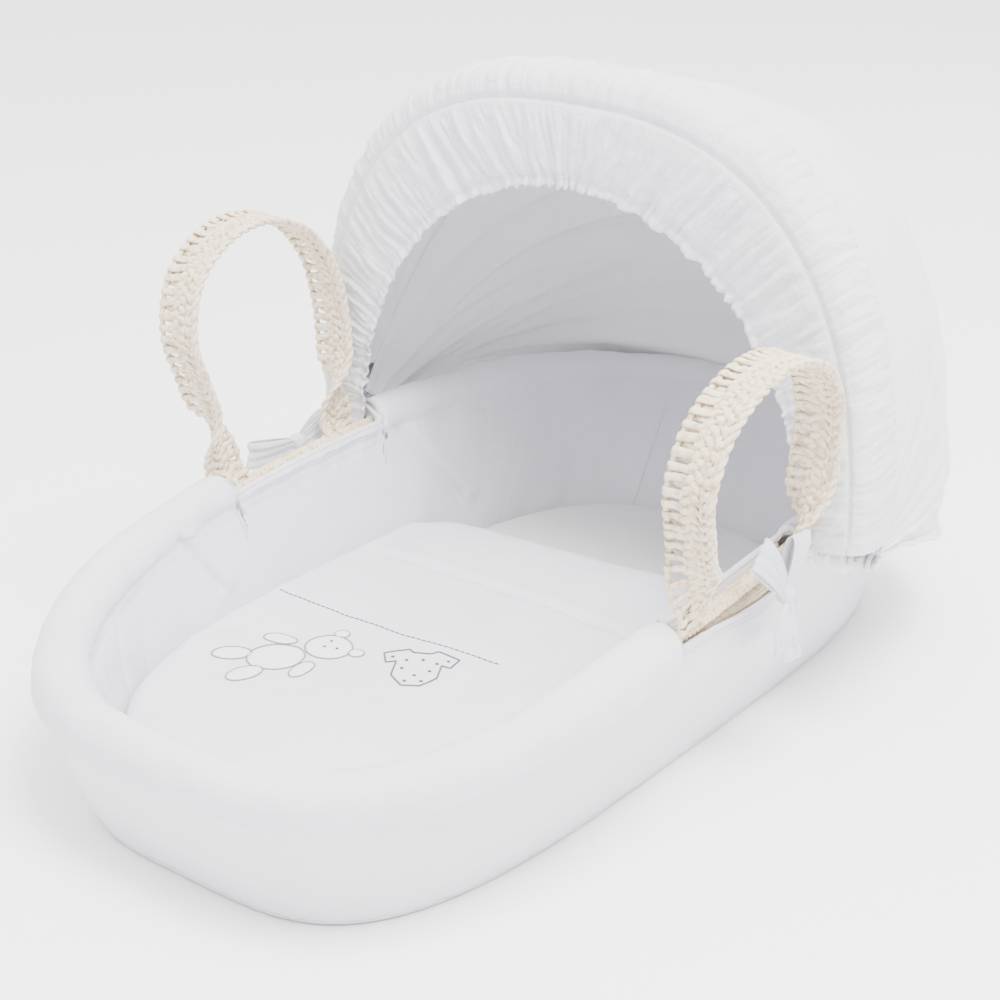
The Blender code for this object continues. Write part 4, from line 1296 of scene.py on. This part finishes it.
def hood_lining():
    """Thin inner cloth, slack between the hoops, gathered to the left pivot."""
    for name, phis, pair, lo, hi, flat in (
            ("hood_lining_front", np.linspace(PHI_FRONT + 1.0, PHI_MID, 40), ("hood_mid", "hood_front"), PHI_FRONT, PHI_MID, (0.84, 0.16)),
            ("hood_lining_rear", np.linspace(PHI_MID, 96.0, 80), ("hood_base", "hood_mid"), PHI_MID, 89.0, (0.84, 0.32))):
        t, s = arch_t(0.022 if name.endswith("rear") else 0.050, 260)
        rows, P = [], []
        for phi in phis:
            drop = np.interp(phi, PHIS, DROPS)
            i = int(np.clip(np.searchsorted(PHIS, phi, side="right") - 1, 0, 2))
            f = (phi - PHIS[i]) / (PHIS[i + 1] - PHIS[i])
            sag = (0.016, 0.018, 0.006)[i] * max(4 * f * (1 - f), 0.0) ** 0.8
            hooked = np.interp(phi, [PHI_FRONT, PHI_MID, PHI_REAR, 90], [0.0105, 0.0135, 0.0135, 0.012])
            a, b = HA - drop - hooked, HB - drop - hooked - sag
            x, r = arch(t, a, b)
            rows.append(at(x, r, phi))
            P.append(np.stack([s / 0.95, np.full(len(t), phi / 90.0), np.zeros(len(t))], -1))
        G, P = np.array(rows), np.array(P)
        N = normals(G)
        c = np.array([0, PY + YS, PZ])
        if (N * (G - c)).sum() < 0:
            N = -N
        u = s[None] / s[-1]                      # 0 on the right, 1 on the left
        left = smooth((u - 0.35) / 0.5)
        ph = P[..., 1]
        fan = ridge(np.stack([u * 0.9 + 0 * ph, ph * 5.2 + 0.8 * u, 0 * ph], -1), 1.5, 46, 2.2)
        d = -0.0105 * fan * (0.20 + 0.80 * left) * np.sin(np.clip(u, 0, 1) * np.pi) ** 0.5
        d -= 0.0036 * ridge(np.stack([u * 1.4 + 0 * ph, ph * 9.0 - 0.6 * u, 0 * ph], -1), 2.0, 47, 3.0)
        d += 0.0010 * nz(P, 9.0, 48)
        d -= 0.001
        k = np.clip((phis[:, None] - phis[0]) / 4.0, 0, 1) if name.endswith("rear") else \
            np.clip((phis[:, None] - phis[0]) / 4.0, 0, 1) * np.clip((phis[-1] - phis[:, None]) / 4.0, 0, 1)
        G = G + N * (np.minimum(d, 0.0005) * k)[..., None]
        ob = mesh_from(name, G, grid_quads(G.shape[0], G.shape[1]), LINING)
        thicken(ob, 0.0008, 0.0)
        apply_all(ob)
        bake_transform(ob, pair[0], pair[1], start=(0, 0, 0), end=(0, 0, 1))
        fold_weights(ob, lo, hi)


def frill():
    """Elasticated, gathered frill round the front hoop."""
    R = np.array([(0.0036, 0.0036, -0.0156, 2.64), (0.0050, 0.0048, -0.006, 2.64), (0.0052, 0.0050, 0.008, 2.64),
                  (0.0036, 0.0030, 0.0180, 2.63), (0.0002, -0.0022, 0.0245, 2.62), (-0.0050, -0.0095, 0.0278, 2.60),
                  (-0.0085, -0.0160, 0.0290, 2.58), (-0.0160, -0.0270, 0.0315, 2.50), (-0.0260, -0.0450, 0.0325, 2.35),
                  (-0.0370, -0.0640, 0.0318, 2.18), (-0.0440, -0.0760, 0.0300, 2.08), (-0.0475, -0.0825, 0.0300, 2.04)])
    nx = 1500
    t, s = arch_t(0.0155, nx)
    rows_n = 64
    acc = np.concatenate([[0], np.cumsum(np.linalg.norm(np.diff(R[:, :3] * [0.3, 0.7, 1], axis=0), axis=1))])
    ff = np.linspace(0, 1, rows_n)
    RR = np.stack([np.interp(ff * acc[-1], acc, R[:, k]) for k in range(4)], 1)
    for _ in range(3):
        RR[1:-1] = 0.25 * RR[:-2] + 0.5 * RR[1:-1] + 0.25 * RR[2:]
    SEAM = float(np.interp(acc[6], [0, acc[-1]], [0, 1]))
    G = []
    for da, db, fwd, power in RR:
        x, r = arch(t, HA + da, HB + db)
        full = (HA + da) * (1.0 - np.clip(r / (HB + db), 0, 1) ** power) ** (1.0 / power)
        G.append(at(np.sign(x) * full, r, PHI_FRONT, fwd))
    G = np.array(G)
    N = normals(G)
    ref = np.array([0.0, -1.0, 0.0])
    if (N[rows_n * 3 // 4] * ref).sum() < 0:
        N = -N
    S = s[None] * np.ones((rows_n, 1))
    F = ff[:, None] * np.ones((1, nx))
    warp = 0.010 * nz(np.stack([S * 6, F * 0.6, 0 * S], -1), 1.0, 51) + 0.0045 * nz(np.stack([S * 26, F * 3.2, 0 * S], -1), 1.0, 57)
    Q = np.stack([(S + warp) * 78.0, F * 1.1, 0 * S], -1)
    g1 = nz(Q, 1.0, 52)
    g2 = nz(np.stack([(S + warp * 0.5) * 150.0, F * 2.6, 0 * S], -1), 1.0, 53)
    g3 = nz(np.stack([(S + warp * 0.3) * 290.0, F * 5.0, 0 * S], -1), 1.0, 54)
    sharp = np.sign(g1) * (1 - (1 - np.abs(np.clip(g1, -1, 1))) ** 1.6)
    env = smooth((F - SEAM) / 0.10) * (0.62 + 0.38 * smooth((F - SEAM) / 0.3))
    back = 1 - smooth((F - SEAM + 0.06) / 0.06)
    patchy = 0.55 + 0.45 * nz(np.stack([S * 30, F * 3.0, 0 * S], -1), 1.0, 58)
    g4 = nz(np.stack([(S + warp) * 210.0, F * 16.0, 0 * S], -1), 1.0, 59)
    d = env * (0.0030 * sharp * patchy + 0.0017 * g2 + 0.0008 * g3 + 0.0007 * g4)
    d += back * (0.0010 * g2 + 0.0005 * g3 + 0.0006 * g1)
    d -= 0.0026 * np.exp(-((F - SEAM) / 0.014) ** 2)                       # casing seam
    d -= 0.0019 * np.exp(-((F - 0.94) / 0.020) ** 2)                        # elastic line
    lip = smooth((F - 0.94) / 0.05)
    d += lip * (0.0020 * nz(np.stack([S * 165.0, F * 2, 0 * S], -1), 1.0, 55))
    ends = smooth(np.minimum(S, s[-1] - S) / 0.02)
    G = G + N * (d * (0.25 + 0.75 * ends))[..., None]
    # puckers pull the free edge in and out a little
    pull = lip * 0.0016 * nz(np.stack([S * 120.0, F * 0, 0 * S], -1), 1.0, 56)
    mid = np.array([0.0, 0.0, PZ + 0.12])
    rad = G - mid
    rad[..., 1] = 0
    rad /= np.linalg.norm(rad, axis=-1, keepdims=True)
    G = G + rad * pull[..., None]
    ob = mesh_from("gathered_frill", G, grid_quads(rows_n, nx), FRILLM)
    thicken(ob, 0.0010, 0.0)
    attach(ob, "hood_front")
    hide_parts("hood_frill")
    r1 = int(round(SEAM * (rows_n - 1)))
    line = G[r1] + N[r1] * 0.0008
    cord = curve_to_mesh(tube_curve("frill_casing_stitches", [line], 0.00045, THREAD_W, res=1))
    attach(cord, "hood_front")
    cord = curve_to_mesh(tube_curve("frill_back_binding", [G[0]], 0.0012, FRILLM, res=2))
    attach(cord, "hood_front")
    r2 = int(0.94 * (rows_n - 1))
    line = G[r2] + N[r2] * 0.0007
    cord = curve_to_mesh(tube_curve("frill_elastic", [line], 0.0009, FRILLM, res=2))
    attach(cord, "hood_front")


hood_cloth()
hood_lining()
frill()


# ---------------------------------------------------------------------- bows
def ribbon(name, path, width_dir, widths, mat, t=0.0011, ripple=0.0, seed=0.0, point=0.0):
    """Flat ribbon swept along path; width_dir per point; point cuts the end at a slant."""
    path = np.asarray(path, float)
    n, m = len(path), 15
    tg = np.gradient(path, axis=0)
    tg /= np.linalg.norm(tg, axis=1, keepdims=True)
    W = np.asarray(width_dir, float) * np.ones((n, 1))
    W = W - tg * (W * tg).sum(1, keepdims=True)
    W /= np.linalg.norm(W, axis=1, keepdims=True)
    Nn = np.cross(tg, W)
    v = np.linspace(-1, 1, m)
    G = path[:, None] + W[:, None] * (np.asarray(widths)[:, None] * 0.5 * v[None])[..., None]
    u = np.linspace(0, 1, n)
    wave = nz(np.stack([np.outer(u, 0 * v + 1) * 2.0, np.outer(0 * u + 1, v) * 2.2, np.zeros((n, m))], -1), 1.0, seed)
    G = G + Nn[:, None] * (ripple * wave)[..., None]
    if point:
        k = smooth((u - 0.80) / 0.20)
        G = G + tg[:, None] * (k[:, None] * point * v[None])[..., None]
    ob = mesh_from(name, G, grid_quads(n, m), mat)
    thicken(ob, t, 0.0, sub=1)
    return ob


def bow(side, nm):
    x0 = side * 0.2375
    K = np.array([x0, 0.004 + YS, 0.150])

    def loop(tag, ang, length, wide, spread, x_out, seed):
        d = np.array([0.0, -math.cos(ang), math.sin(ang)])
        u = np.linspace(0, 1, 46)
        fwd = np.sin(np.pi * u) ** 0.75 * length
        off = spread * np.cos(np.pi * u) * np.sin(np.pi * u) ** 0.5 * 1.2
        path = K + np.outer(fwd, d) + np.outer(off + x_out * np.sin(np.pi * u), [side, 0, 0])
        wd = np.cross(d, [1.0, 0, 0])
        w = 0.0095 + (wide - 0.0095) * np.sin(np.pi * u) ** 0.6
        ob = ribbon("bow_%s_%s" % (nm, tag), path, wd, w, RIBBON, ripple=0.0016, seed=seed)
        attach(ob, "root")
        return ob

    if side > 0:
        loop("loop_long", math.radians(46), 0.066, 0.026, 0.0062, 0.0010, 61)
        loop("loop_short", math.radians(97), 0.047, 0.024, 0.0056, 0.0040, 62)
    else:
        loop("loop_long", math.radians(4), 0.058, 0.024, 0.0062, 0.0040, 61)
        loop("loop_short", math.radians(166), 0.040, 0.022, 0.0056, 0.0040, 62)

    def tail(tag, y1, z1, x1, seed, point):
        u = np.linspace(0, 1, 30)
        path = np.stack([K[0] + side * (0.002 + x1 * np.sin(np.pi * u) * 0.6 + x1 * 0.5 * u),
                         K[1] + y1 * u ** 1.2, K[2] + (z1 - K[2]) * u], 1)
        path[:, 1] += 0.0022 * np.sin(u * 7 + seed)
        w = 0.009 + 0.013 * smooth(u / 0.45)
        ob = ribbon("bow_%s_%s" % (nm, tag), path, (0.0, 1.0, 0.0), w, RIBBON, ripple=0.0022, seed=seed, point=point)
        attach(ob, "root")

    tail("tail_a", 0.014, 0.0900, 0.0030, 63.0, 0.007)
    tail("tail_b", -0.012, 0.1060, 0.0048, 64.0, -0.006)
    # knot: a short band of the same ribbon wrapped round the crossing
    n, m = 36, 14
    a = np.linspace(0, 2 * np.pi, n, endpoint=False)
    v = np.linspace(-1, 1, m)
    A, V = np.meshgrid(a, v, indexing="ij")
    rr = 1.0 - 0.55 * np.abs(V) ** 3 + 0.07 * nz(np.stack([np.cos(A) * 1.6, np.sin(A) * 1.6, V * 1.2], -1), 1.0, 65)
    tilt = math.radians(35)
    ly, lz = V * 0.0072, 0.0090 * rr * np.sin(A)
    G = np.stack([K[0] + 0.0068 * rr * np.cos(A), K[1] + ly * math.cos(tilt) - lz * math.sin(tilt),
                  K[2] + ly * math.sin(tilt) + lz * math.cos(tilt)], -1)
    G = np.swapaxes(G, 0, 1)
    ob = mesh_from("bow_%s_knot" % nm, G, grid_quads(m, n, True), RIBBON)
    bm = bmesh.new()
    bm.from_mesh(ob.data)
    bmesh.ops.holes_fill(bm, edges=[e for e in bm.edges if e.is_boundary], sides=0)
    bmesh.ops.recalc_face_normals(bm, faces=bm.faces)
    bm.to_mesh(ob.data)
    bm.free()
    ob.data.shade_smooth()
    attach(ob, "root")
    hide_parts("tie_bow_" + nm)


bow(1, "right")
bow(-1, "left")

# ------------------------------------------------------- kept CAD hardware
LOOKS = {"hood_hoop": WIREM, "hood_bracket": PLASTICM, "hood_pin": STEELM, "mattress_foam": FOAMM}
for name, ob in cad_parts.items():
    for key, mat in LOOKS.items():
        if name.startswith(key):
            ob.data.materials.clear()
            ob.data.materials.append(mat)
